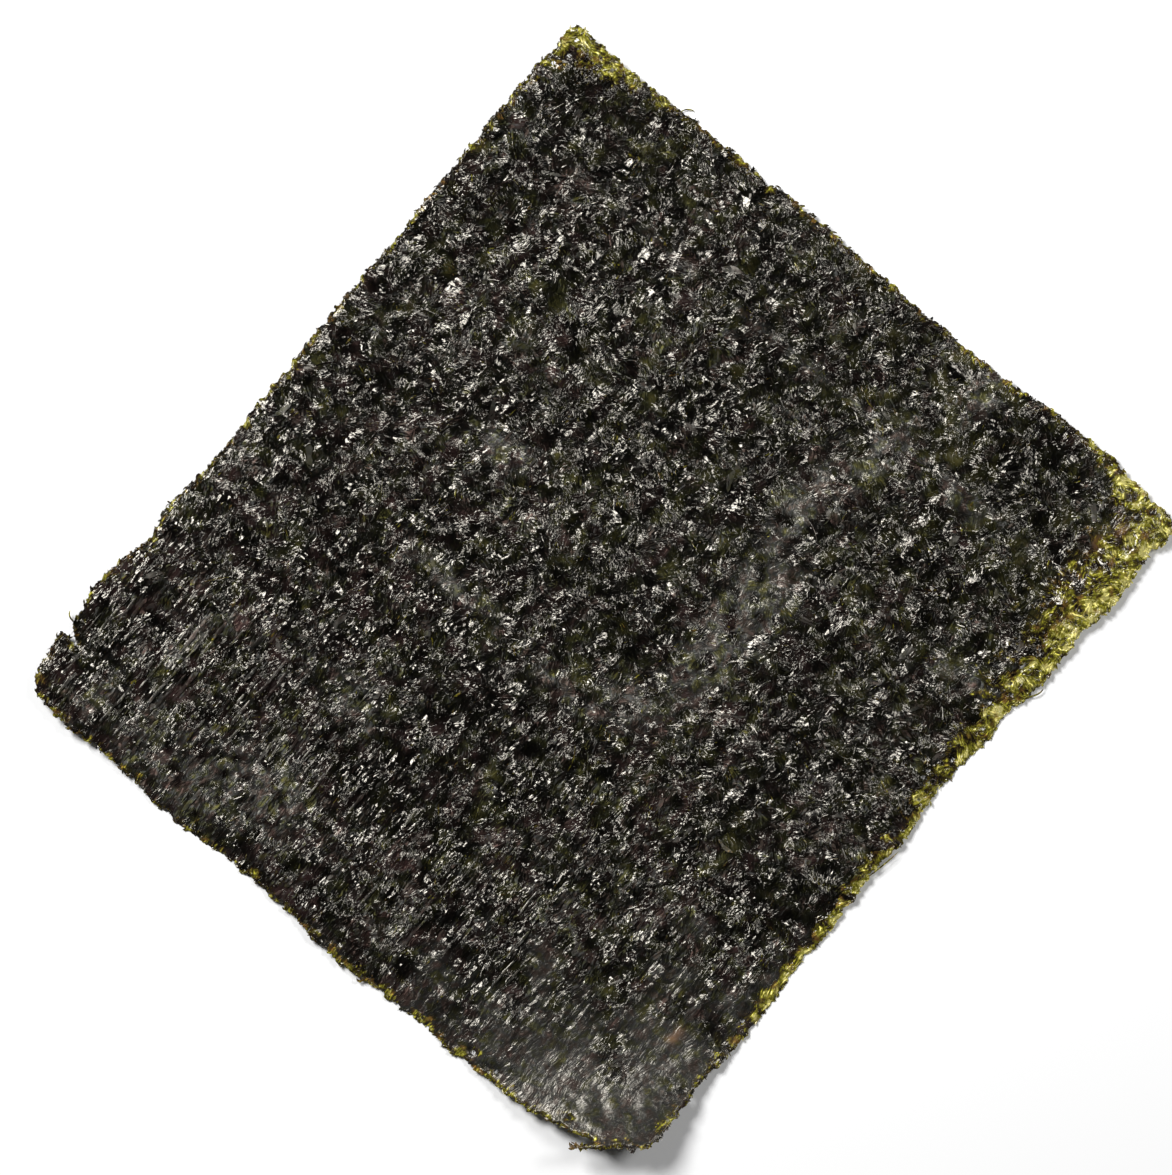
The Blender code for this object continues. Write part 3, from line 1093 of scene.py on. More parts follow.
    def places(self, vertices: Array, faces: tuple[Array, ...]) -> tuple[Array, ...]:
        """The flat map: each face of the sheet as seen from above, side by side, and the walls in a strip.

        Args:
            vertices: The vertices, in millimetres.
            faces: The upper face, the lower face and the walls.

        Returns:
            Where each corner of each face lies on the map, from 0 to 1.
        """
        low = vertices[:, :2].min(axis=0)
        share = (vertices[:, :2] - low) / (vertices[:, :2].max(axis=0) - low)
        found = []
        for block, (start, size) in zip(faces, (self.upper_map, self.under_map)):
            found.append(share[block] * (size, 1.0 - 2.0 * self.map_edge) + (start, self.map_edge))
        turn = np.arctan2(vertices[:, 1], vertices[:, 0])[faces[2]] / (2 * np.pi)
        turn = turn[:, :1] + np.mod(turn - turn[:, :1] + 0.5, 1.0) - 0.5
        across = np.broadcast_to(np.array(self.wall_map)[[0, 1, 1, 0]], turn.shape)
        found.append(np.stack([across, turn + 0.5], axis=-1))
        return tuple(found)


@dataclass(frozen=True)
class ShredForm:
    """The closed form of a torn shred: a three-cornered section carried along a path to a tip at each end."""

    stations: int = 3
    map_gap: float = 0.06
    sharp_angle: float = 75.0
    clearance: float = 0.01

    @cached_property
    def along(self) -> Array:
        """The places of the tail, the stations and the head along the path, from -1 to 1."""
        return np.linspace(-1.0, 1.0, self.stations + 2)

    @cached_property
    def triangles(self) -> ArrayPair:
        """The triangles of one shred, and where their corners lie on its flat map, from 0 to 1.

        Vertex 0 is the tail, the last is the head, and a station has its left corner, its ridge and
        its right corner in a row. The map has the length along it and the way round across it.

        Returns:
            Three vertex numbers, and three places, for each triangle.
        """
        step = np.arange(self.stations + 1)[:, None]
        side = np.arange(3)[None, :]
        last = 3 * self.stations + 1

        def corner(station: Array, way: Array) -> Array:
            """The vertex number of a corner, where station 0 is the tail and the last is the head."""
            inner = 1 + 3 * (station - 1) + way % 3
            return np.where(station == 0, 0, np.where(station > self.stations, last, inner))

        def spot(station: Array, way: Array) -> Array:
            """Where that corner lies on the flat map."""
            at = np.broadcast_to(station / (self.stations + 1), np.broadcast(station, way).shape)
            return np.stack([at, np.broadcast_to(way / 3, at.shape)], axis=-1)

        rows = ((0, 0), (0, 1), (1, 1)), ((0, 0), (1, 1), (1, 0))
        made = [[corner(step + ds, side + dw) for ds, dw in row] for row in rows]
        spots = [[spot(step + ds, side + dw) for ds, dw in row] for row in rows]
        numbers = np.stack([np.stack(np.broadcast_arrays(*m), axis=-1) for m in made], axis=2).reshape(-1, 3)
        flat = np.stack([np.stack(s, axis=2) for s in spots], axis=2).reshape(-1, 3, 2)
        real = (numbers != np.roll(numbers, 1, axis=1)).all(axis=1)
        return numbers[real], flat[real]

    def vertices(self, path: Array, half_width: Array, ridge: Array, skew: Array, roll: Array) -> Array:
        """The vertices of many shreds.

        At each station the left and right corners stand half a width to the side of the path, turned
        about it by the roll, and the ridge stands above it, skewed to one side.

        Args:
            path: The paths, as shreds by stations with the tips by 3.
            half_width: Half the width at each inner station.
            ridge: The ridge's height at each inner station.
            skew: How far the ridge is to the left, as a share of half the width, for each shred.
            roll: The turn about the path, in radians, for each shred.

        Returns:
            The places, as shreds by vertices by 3.
        """
        run = np.gradient(path[:, :, :2], axis=1)
        run /= np.maximum(np.linalg.norm(run, axis=2), TINY)[:, :, None]
        side = np.stack([-run[:, 1:-1, 1], run[:, 1:-1, 0]], axis=-1)
        cos, sin = np.cos(roll)[:, None], np.sin(roll)[:, None]
        middle, none = path[:, 1:-1], 0.0 * ridge
        corners = []
        for across, up in ((half_width, none), (half_width * skew[:, None], ridge), (-half_width, none)):
            flat = middle[:, :, :2] + side * (across * cos - up * sin)[:, :, None]
            high = middle[:, :, 2] + across * sin + up * cos
            corners.append(np.concatenate([flat, high[:, :, None]], axis=-1))
        inner = np.stack(corners, axis=2).reshape(len(path), -1, 3)
        placed = np.concatenate([path[:, :1], inner, path[:, -1:]], axis=1)
        placed[:, :, 2] = np.maximum(placed[:, :, 2], self.clearance)
        return placed

    def mesh(self, vertices: Array, values: dict[str, Array]) -> PieceMesh:
        """The mesh of many shreds, each with its own small square of the piece's flat map.

        Args:
            vertices: Their vertices, as shreds by vertices by 3.
            values: Named numbers, one for each shred.

        Returns:
            The arrays of the piece.
        """
        count, corners = vertices.shape[:2]
        triangles, flat = self.triangles
        faces = (triangles[None, :, :] + (np.arange(count) * corners)[:, None, None]).reshape(-1, 3)
        row = math.ceil(count ** 0.5)
        square = np.stack([np.arange(count) % row, np.arange(count) // row], axis=-1)
        places = (square[:, None, None, :] + self.map_gap + (1.0 - 2.0 * self.map_gap) * flat[None]) / row
        spread = {label: np.repeat(numbers, corners) for label, numbers in values.items()}
        blocks = (faces,), (places.reshape(-1, 3, 2),)
        return PieceMesh(vertices.reshape(-1, 3), *blocks, spread, math.radians(self.sharp_angle))


@dataclass(frozen=True, eq=False)
class Shreds:
    """Torn shreds of seaweed that stand out of one face of the sheet, spread one to a cell.

    Three sizes are the least, the middle and the greatest one. A range holds the least and the greatest.
    Roll, pitch angle and bend are spreads about 0: two angles in radians and a share of the length.
    Ridge slopes and skews are shares of half the width. Stiffness is how little a shred follows the
    sheet, and it rests on it at a share of half its length from its middle. What starts with dull
    works in the smooth corner, what ends with thins is the share that is missing there, and what
    starts with tuft is how much of a shred's shade or tint is its tuft's.
    """

    sheet: Sheet
    label: str
    seed: int
    face: Face = Face.UPPER
    pieces: int = 1
    pitch: float = 1.1
    form: ShredForm = ShredForm()
    lengths: Sizes = (0.8, 2.0, 5.0)
    half_widths: Sizes = (0.09, 0.18, 0.42)
    spread: float = 0.42
    width_sway: Range = (0.65, 1.25)
    roll: float = 0.20
    pitch_angle: float = 0.10
    bend: float = 0.10
    arch: float = 0.07
    stiffness: float = 0.75
    rests_at: float = 0.6
    ridge_slopes: Range = (0.10, 0.55)
    skews: float = 0.5
    standing: Range = (-0.06, 0.16)
    least_depth: float = 0.15
    dull_sinks: float = 0.12
    dull_shrinks: float = 0.40
    dull_levels: float = 0.65
    reed_pull: float = 0.65
    pool_thins: float = 0.75
    calm_thins: float = 0.0
    dulled: float = 0.0
    tuft_shade: float = 0.4
    tuft_tint: float = 0.6
    slope_span: float = 0.5
    overhang: float = 0.25

    def spots(self, rng: Chance) -> ArrayPair:
        """One random place in each cell of a square grid, inside the outline.

        Args:
            rng: The source of chance.

        Returns:
            The X and Y of the places that are kept.
        """
        grain = self.sheet.grain
        half = np.abs(self.sheet.outline.fine).max(axis=0)
        cells = [np.arange(-count, count + 1) for count in np.ceil(half / self.pitch).astype(int)]
        i, j = np.meshgrid(*cells, indexing="ij")
        x = (i + rng.uniform(-0.5, 0.5, i.shape)).ravel() * self.pitch
        y = (j + rng.uniform(-0.5, 0.5, j.shape)).ravel() * self.pitch
        pitch = self.sheet.lie.reed_pitch
        past_reed = np.mod(x + pitch / 2, pitch) - pitch / 2
        x = x - past_reed * self.reed_pull * (1.0 - grain.tangle(x, y))
        calm = self.calm_thins * (1.0 - grain.liveliness.at(x, y))
        thinned = np.maximum(self.pool_thins * grain.pool(x, y), calm)
        kept = self.sheet.depths.at(x, y) > self.least_depth
        kept &= rng.uniform(0.0, 1.0, x.shape) >= thinned
        return x[kept], y[kept]

    def drawn(self, limits: Sizes, count: int, rng: Chance) -> Array:
        """Sizes drawn about the middle one, of which the logarithm is normal, held to the outer two."""
        return np.clip(limits[1] * np.exp(rng.normal(0.0, self.spread, count)), limits[0], limits[2])

    def headings(self, x: Array, y: Array, tuft: ArrayPair, rng: Chance) -> Array:
        """The heading of each shred from +X, in radians."""
        return self.sheet.grain.heading(x, y, tuft, rng)

    def surface(self, x: Array, y: Array) -> Array:
        """The height of the face that they stand out of."""
        return self.sheet.upper(x, y) if self.face is Face.UPPER else self.sheet.lower(x, y)

    def side_slope(self, x: Array, y: Array, tuft: ArrayPair, heading: Array) -> Array:
        """The slope of the sheet and the tuft to the left of each heading, from a step to each side.

        Args:
            x: The middles along X.
            y: The middles along Y.
            tuft: The grid numbers of the shreds' tufts.
            heading: The headings from +X, in radians.

        Returns:
            One slope for each shred.
        """
        side_x, side_y = -np.sin(heading) * self.slope_span, np.cos(heading) * self.slope_span
        rise = self.surface(x + side_x, y + side_y) - self.surface(x - side_x, y - side_y)
        along_x, along_y = self.sheet.tufts.slopes(*tuft)
        leans = np.cos(heading) * along_y - np.sin(heading) * along_x
        return rise / (2.0 * self.slope_span) + (leans if self.face is Face.UPPER else 0.0)

    def paths(
        self, x: Array, y: Array, tuft: ArrayPair, heading: Array, length: Array, rng: Chance
    ) -> Array:
        """The paths: straight along the heading, bent to a side and arched, on the sheet's face.

        The bend and the arch grow as one less the square of the place along the path.

        Args:
            x: The middles along X.
            y: The middles along Y.
            tuft: The grid numbers of the shreds' tufts.
            heading: The headings from +X, in radians.
            length: The lengths.
            rng: The source of chance.

        Returns:
            The paths, as shreds by stations with the tips by 3.
        """
        along = self.form.along[None, :]
        hump = 1.0 - along * along
        count = len(x)
        reach = along * (length / 2)[:, None]
        aside = hump * (length * rng.normal(0.0, self.bend, count))[:, None]
        cos, sin = np.cos(heading)[:, None], np.sin(heading)[:, None]
        px = x[:, None] + reach * cos - aside * sin
        py = y[:, None] + reach * sin + aside * cos
        rise = rng.uniform(*self.standing, count)[:, None]
        rise = rise + hump * rng.uniform(0.0, self.arch, count)[:, None]
        rise = rise + reach * np.tan(rng.normal(0.0, self.pitch_angle, count))[:, None]
        rise = rise - self.dull_sinks * self.sheet.lie.corner.dullness(x, y)[:, None]
        level = self.surface(px, py)
        rest_x, rest_y = reach[:, -1] * cos[:, 0], reach[:, -1] * sin[:, 0]
        ways = (-self.rests_at, self.rests_at)
        back, front = (self.surface(x + way * rest_x, y + way * rest_y) for way in ways)
        straight = ((front + back) / 2)[:, None] + ((front - back) / (2 * self.rests_at))[:, None] * along
        level = in_steps(self.stiffness, level, straight)
        if self.face is Face.UNDER:
            return np.stack([px, py, level - rise], axis=-1)
        i, j = (np.broadcast_to(number[:, None], px.shape) for number in tuft)
        return np.stack([px, py, level + self.sheet.tufted(px, py, i, j) + rise], axis=-1)

    @staticmethod
    def partly(share: float, tuft: Array, own: Array) -> Array:
        """A chance from 0 to 1 that is its tuft's for a share, and the shred's own for the rest."""
        return in_steps(own, share * tuft, (1.0 - share) + share * tuft)

    def build(self, material: Material) -> list[bpy.types.Object]:
        """Make the shreds, in pieces of about the same number, from the lower edge to the upper one.

        Args:
            material: Their finish.

        Returns:
            The new objects.
        """
        rng = np.random.default_rng(self.seed)
        x, y = self.spots(rng)
        order = np.argsort(y, kind="stable")
        x, y = x[order], y[order]
        tuft = self.sheet.tufts.nearest(x, y)
        heading = self.headings(x, y, tuft, rng)
        shrunk = 1.0 - self.dull_shrinks * self.sheet.lie.corner.dullness(x, y)
        length = self.drawn(self.lengths, len(x), rng) * shrunk
        way_x, way_y = np.cos(heading) * length / 2, np.sin(heading) * length / 2
        ends = [self.sheet.depths.at(x + side * way_x, y + side * way_y) for side in (-1, 1)]
        kept = np.minimum(*ends) > -self.overhang
        x, y, heading, length, shrunk = (values[kept] for values in (x, y, heading, length, shrunk))
        tuft = (tuft[0][kept], tuft[1][kept])
        count = len(x)
        half_width = self.drawn(self.half_widths, count, rng) * shrunk
        paths = self.paths(x, y, tuft, heading, length, rng)
        widths = half_width[:, None] * rng.uniform(*self.width_sway, (count, self.form.stations))
        proud = 1.0 - self.dull_levels * self.sheet.lie.corner.dullness(x, y)
        ridges = widths * (proud * rng.uniform(*self.ridge_slopes, count))[:, None]
        skew = rng.uniform(-self.skews, self.skews, count)
        roll = (np.arctan(self.side_slope(x, y, tuft, heading)) + rng.normal(0.0, self.roll, count)) * proud
        vertices = self.form.vertices(paths, widths, ridges, skew, roll)
        chance = self.sheet.tufts.chances[tuft]
        values = self.sheet.grain.looks(x, y)
        values["dull"] = np.maximum(values["dull"], self.dulled)
        values["shade"] = self.partly(self.tuft_shade, chance[:, 5], rng.uniform(0.0, 1.0, count))
        values["tint"] = self.partly(self.tuft_tint, chance[:, 4], rng.uniform(0.0, 1.0, count))
        values["thin"] = np.maximum(self.sheet.thinness(x, y), self.sheet.grain.young(x, y, rng))
        made = []
        for number, part in enumerate(np.array_split(np.arange(count), self.pieces), 1):
            name = self.label if self.pieces == 1 else f"{self.label}_{number}"
            mesh = self.form.mesh(vertices[part], {label: numbers[part] for label, numbers in values.items()})
            made.append(mesh.build(name, material))
        return made


@dataclass(frozen=True, eq=False)
class ReedRidges(Shreds):
    """Long straight ridges that the reeds of the mat left, thickest towards the lower left corner.

    Lower and corner say where along Y and X the ridges start, and over how far they grow thick.
    """

    lower: Range = (-42.0, 45.0)
    corner: Range = (0.0, 60.0)
    least_share: float = 0.3
    patches: Patches = Patches(128, (8.0, 22.0), 24, starts=-0.25, over=0.5)
    off_line: float = 0.12
    rim_gap: float = 2.0
    straight: float = 0.035

    def spots(self, rng: Chance) -> ArrayPair:
        """Places on the reeds' lines, kept by chance where the ridges are thick.

        Args:
            rng: The source of chance.

        Returns:
            The X and Y of the places that are kept.
        """
        x, y = Shreds.spots(self, rng)
        pitch = self.sheet.lie.reed_pitch
        x = np.rint(x / pitch) * pitch + rng.normal(0.0, self.off_line, x.shape)
        lower = ramp((self.lower[0] - y) / self.lower[1])
        corner = in_steps(ramp((self.corner[0] - x) / self.corner[1]), self.least_share, 1.0)
        share = lower * corner * self.patches.at(x, y) * (1.0 - self.sheet.lie.corner.dullness(x, y))
        kept = (rng.uniform(0.0, 1.0, x.shape) < share) & (self.sheet.depths.at(x, y) > self.rim_gap)
        return x[kept], y[kept]

    def headings(self, x: Array, y: Array, tuft: ArrayPair, rng: Chance) -> Array:
        """Along +Y, give or take a little."""
        return np.pi / 2 + rng.normal(0.0, self.straight, x.shape)

    def side_slope(self, x: Array, y: Array, tuft: ArrayPair, heading: Array) -> Array:
        """Level across, whatever lies under it."""
        return np.zeros(x.shape)


@dataclass(frozen=True, eq=False)
class Fringe:
    """Shreds that lie along the torn rim, and a few that stick out of it.

    Turn, tilt and roll are in radians. Sunk is a share of the length, and levels are shares of the
    rim's thickness.
    """

    sheet: Sheet
    seed: int = 97
    pitch: float = 0.34
    form: ShredForm = ShredForm()
    lengths: Range = (0.7, 2.0)
    half_widths: Range = (0.14, 0.40)
    width_sway: Range = (0.6, 1.2)
    turn: float = 0.38
    outward_share: float = 0.14
    sunk: Range = (0.35, 0.85)
    inset: Range = (0.0, 0.45)
    bend: float = 0.12
    levels: Range = (0.15, 0.85)
    tilt: float = 0.16
    ridge_slopes: Range = (0.15, 0.7)
    skews: float = 0.5
    roll: float = 0.35

    def build(self, material: Material) -> bpy.types.Object:
        """Make the fringe: each shred lies along the rim or points outwards, give or take a turn.

        Args:
            material: Its finish.

        Returns:
            The new object.
        """
        outline = self.sheet.outline.fine
        steps = np.linalg.norm(np.roll(outline, -1, axis=0) - outline, axis=1)
        along = np.concatenate([[0.0], np.cumsum(steps)])
        rng = np.random.default_rng(self.seed)
        count = int(along[-1] / self.pitch)
        place = (np.arange(count) + rng.uniform(0.0, 1.0, count)) * along[-1] / count
        closed = np.concatenate([outline, outline[:1]])
        x, y = (np.interp(place, along, closed[:, k]) for k in (0, 1))
        ix, iy = self.sheet.depths.inward(x, y)
        outwards = np.where(rng.uniform(0.0, 1.0, count) < self.outward_share, 0.0, np.pi / 2)
        heading = np.arctan2(-iy, -ix) + outwards + rng.normal(0.0, self.turn, count)
        inset = rng.uniform(*self.inset, count)
        x, y = x + ix * inset, y + iy * inset
        length = rng.uniform(*self.lengths, count)
        reach = (self.form.along / 2 + 0.5)[None, :] - rng.uniform(*self.sunk, count)[:, None]
        aside = (1.0 - self.form.along ** 2)[None, :] * (length * rng.normal(0.0, self.bend, count))[:, None]
        cos, sin = np.cos(heading)[:, None], np.sin(heading)[:, None]
        px = x[:, None] + reach * length[:, None] * cos - aside * sin
        py = y[:, None] + reach * length[:, None] * sin + aside * cos
        level = in_steps(rng.uniform(*self.levels, count)[:, None], *self.sheet.rim_faces(px, py))
        pz = level + reach * length[:, None] * np.tan(rng.normal(0.0, self.tilt, count))[:, None]
        widths = rng.uniform(*self.half_widths, count)[:, None]
        widths = widths * rng.uniform(*self.width_sway, (count, self.form.stations))
        ridges = widths * rng.uniform(*self.ridge_slopes, count)[:, None]
        skew, roll = rng.uniform(-self.skews, self.skews, count), rng.normal(0.0, self.roll, count)
        vertices = self.form.vertices(np.stack([px, py, pz], axis=-1), widths, ridges, skew, roll)
        values = self.sheet.grain.looks(x, y)
        values |= {"shade": rng.uniform(0.0, 1.0, count), "tint": rng.uniform(0.0, 1.0, count)}
        values["thin"] = self.sheet.thinness(x - cos[:, 0], y - sin[:, 0])
        return self.form.mesh(vertices, values).build("torn_fringe", material)


@dataclass(frozen=True, eq=False)
class LooseStrands:
    """Thin strands that hang off the torn rim, each carried along a curve past three landmarks."""

    sheet: Sheet
    curves: tuple[Pairs, ...] = (
        ((92.5, -10.6), (93.9, -6.3), (94.8, 0.5)), ((95.0, 49.0), (97.2, 51.0), (96.8, 53.2)),
        ((-94.0, -84.0), (-97.6, -84.6), (-98.0, -82.4)), ((-60.5, 105.0), (-60.0, 107.4), (-57.8, 107.6)),
    )
    half_widths: tuple[float, ...] = (0.17, 0.22, 0.2, 0.16)
    form: ShredForm = ShredForm(7)
    ridge_slope: float = 0.5
    level: float = 0.5
    taper: float = 0.8
    looks: tuple[tuple[str, float], ...] = (("shade", 0.5), ("tint", 0.6), ("thin", 0.6))

    def build(self, material: Material) -> bpy.types.Object:
        """Make the strands. Each path is a quadratic curve: the blend of the blends of its landmarks.

        Args:
            material: Their finish.

        Returns:
            The new object.
        """
        start, pull, end = (np.array([curve[k] for curve in self.curves])[:, None, :] for k in range(3))
        t = (self.form.along / 2 + 0.5)[None, :, None]
        flat = start * (1 - t) ** 2 + pull * 2 * t * (1 - t) + end * t * t
        foot_x, foot_y = flat[:, :1, 0], flat[:, :1, 1]
        high = np.broadcast_to(in_steps(self.level, *self.sheet.rim_faces(foot_x, foot_y)), flat.shape[:2])
        slim = np.sqrt(1.0 - self.taper * self.form.along[None, 1:-1] ** 2)
        widths = np.array(self.half_widths)[:, None] * slim
        count = len(self.curves)
        path = np.concatenate([flat, high[:, :, None]], axis=-1)
        none = np.zeros(count)
        vertices = self.form.vertices(path, widths, widths * self.ridge_slope, none, none)
        values = self.sheet.grain.looks(foot_x[:, 0], foot_y[:, 0])
        values |= {label: np.full(count, number) for label, number in self.looks}
        return self.form.mesh(vertices, values).build("loose_strands", material)


class NodeBoard:
    """A node tree and short ways to place nodes in it and to join them."""

    def __init__(self, tree: Tree) -> None:
        """Keep the tree of a material or of a group."""
        self.tree = tree

    @staticmethod
    def of_group(name: str, inputs: dict[str, float], outputs: dict[str, str]) -> "NodeBoard":
        """Start a node group.

        Args:
            name: The group's name.
            inputs: The value that each named input has when nothing feeds it.
            outputs: The kind of each named output, Float or Color.

        Returns:
            The new group's board.
        """
        tree = bpy.data.node_groups.new(name, "ShaderNodeTree")
        for label, value in inputs.items():
            socket = tree.interface.new_socket(label, in_out="INPUT", socket_type="NodeSocketFloat")
            socket.default_value = value
        for label, kind in outputs.items():
            tree.interface.new_socket(label, in_out="OUTPUT", socket_type="NodeSocket" + kind)
        return NodeBoard(tree)

    def place(self, kind: str, settings: dict | None = None, **inputs: object) -> Node:
        """Place a node.

        Args:
            kind: Blender's name for the kind of node, without ShaderNode.
            settings: The node's own properties.
            inputs: A value or an output socket for each named input, with _ for a space.

        Returns:
            The new node.
        """
        node = self.tree.nodes.new(kind if kind.startswith("NodeGroup") else "ShaderNode" + kind)
        for name, value in (settings or {}).items():
            setattr(node, name, value)
        for name, value in inputs.items():
            self.join(value, node.inputs[name.replace("_", " ")])
        return node

    def join(self, value: object, socket: Socket) -> None:
        """Feed a socket from an output, or set its value.

        Args:
            value: An output socket or a plain value.
            socket: The input.
        """
        if isinstance(value, Socket):
            self.tree.links.new(value, socket)
        else:
            socket.default_value = value

    def result(self, kind: str, operation: str, first: object, second: object) -> Node:
        """Place a Math or VectorMath node and feed its first two inputs.

        Args:
            kind: Which of the two.
            operation: What it works out.
            first: Its first input.
            second: Its second input.

        Returns:
            The new node.
        """
        node = self.place(kind, {"operation": operation})
        self.join(first, node.inputs[0])
        self.join(second, node.inputs[1])
        return node

    def math(self, operation: str, first: object, second: object = 0.0) -> Socket:
        """The result of a sum on two numbers or outputs."""
        return self.result("Math", operation, first, second).outputs[0]

    def plus(self, first: object, second: object) -> Socket:
        """One number and another."""
        return self.math("ADD", first, second)

    def times(self, first: object, second: object) -> Socket:
        """One number times another."""
        return self.math("MULTIPLY", first, second)

    def swing(self, value: object, size: object) -> Socket:
        """A value from 0 to 1, centred on 0 and times a size."""
        return self.times(self.math("SUBTRACT", value, 0.5), size)

    def centred(self, value: object, height: object) -> Socket:
        """A noise value, centred on 0 and scaled to a height in millimetres."""
        return self.swing(value, self.times(height, MM))

    def slide(self, share: object, low: float, high: float) -> Socket:
        """A number that goes from low to high as the share goes from 0 to 1."""
        return self.place("MapRange", Value=share, To_Min=low, To_Max=high).outputs[0]

    def vector(self, operation: str, first: object, second: object) -> Socket:
        """The result of a sum on two vectors."""
        return self.result("VectorMath", operation, first, second).outputs[0]

    def dot(self, first: object, second: object) -> Socket:
        """The dot product of two vectors."""
        return self.result("VectorMath", "DOT_PRODUCT", first, second).outputs["Value"]

    def scaled(self, vector: object, factor: object) -> Socket:
        """A vector times a number."""
        return self.place("VectorMath", {"operation": "SCALE"}, Vector=vector, Scale=factor).outputs[0]

    def leaning(self, cells: Node, where: object, slope: object) -> Socket:
        """The height of flat cells that lean at random: a cell's lean dotted with the way from its middle.

        Args:
            cells: The Voronoi node.
            where: The place that it reads.
            slope: How steeply they lean.

        Returns:
            The height.
        """
        lean = self.vector("SUBTRACT", cells.outputs["Color"], (0.5, 0.5, 0.5))
        away = self.vector("SUBTRACT", where, cells.outputs["Position"])
        return self.times(self.dot(lean, away), slope)

    def mix(self, share: object, first: object, second: object, blend: str = "MIX") -> Socket:
        """A mix of two colours.

        Args:
            share: How much of the second there is.
            first: The first colour.
            second: The second colour.
            blend: How they are blended.

        Returns:
            The colour.
        """
        node = self.place("Mix", {"data_type": "RGBA", "blend_type": blend, "clamp_factor": True})
        for value, index in ((share, 0), (first, 6), (second, 7)):
            self.join(value, node.inputs[index])
        return node.outputs[2]

    def shaded(self, colour: object, factor: object) -> Socket:
        """A colour times another one."""
        return self.mix(1.0, colour, factor, "MULTIPLY")

    def ramp(self, value: object, stops: Stops) -> Socket:
        """A colour read from a row of colour stops.

        Args:
            value: Where it is read, from 0 to 1.
            stops: The place and the colour of each stop.

        Returns:
            The colour.
        """
        node = self.place("ValToRGB")
        row = node.color_ramp
        for _ in stops[2:]:
            row.elements.new(0.5)
        for element, (place, colour) in zip(row.elements, stops):
            element.position = place
            element.color = colour
        self.join(value, node.inputs[0])
        return node.outputs[0]

    def levels(self, value: object, stops: Pairs) -> Socket:
        """A grey read from a row of stops, each with its place and its level."""
        return self.ramp(value, tuple((place, (level, level, level, 1.0)) for place, level in stops))

    def noise(self, where: object, size: float, detail: float = 2.0, rough: float = 0.5) -> Node:
        """A noise whose lumps are about the given size, in millimetres."""
        return self.place("TexNoise", Vector=where, Scale=1.0 / (size * MM), Detail=detail, Roughness=rough)

    def cells(self, where: object, size: float) -> Node:
        """A Voronoi pattern whose cells are about the given size, in millimetres."""
        return self.place("TexVoronoi", Vector=where, Scale=1.0 / (size * MM))


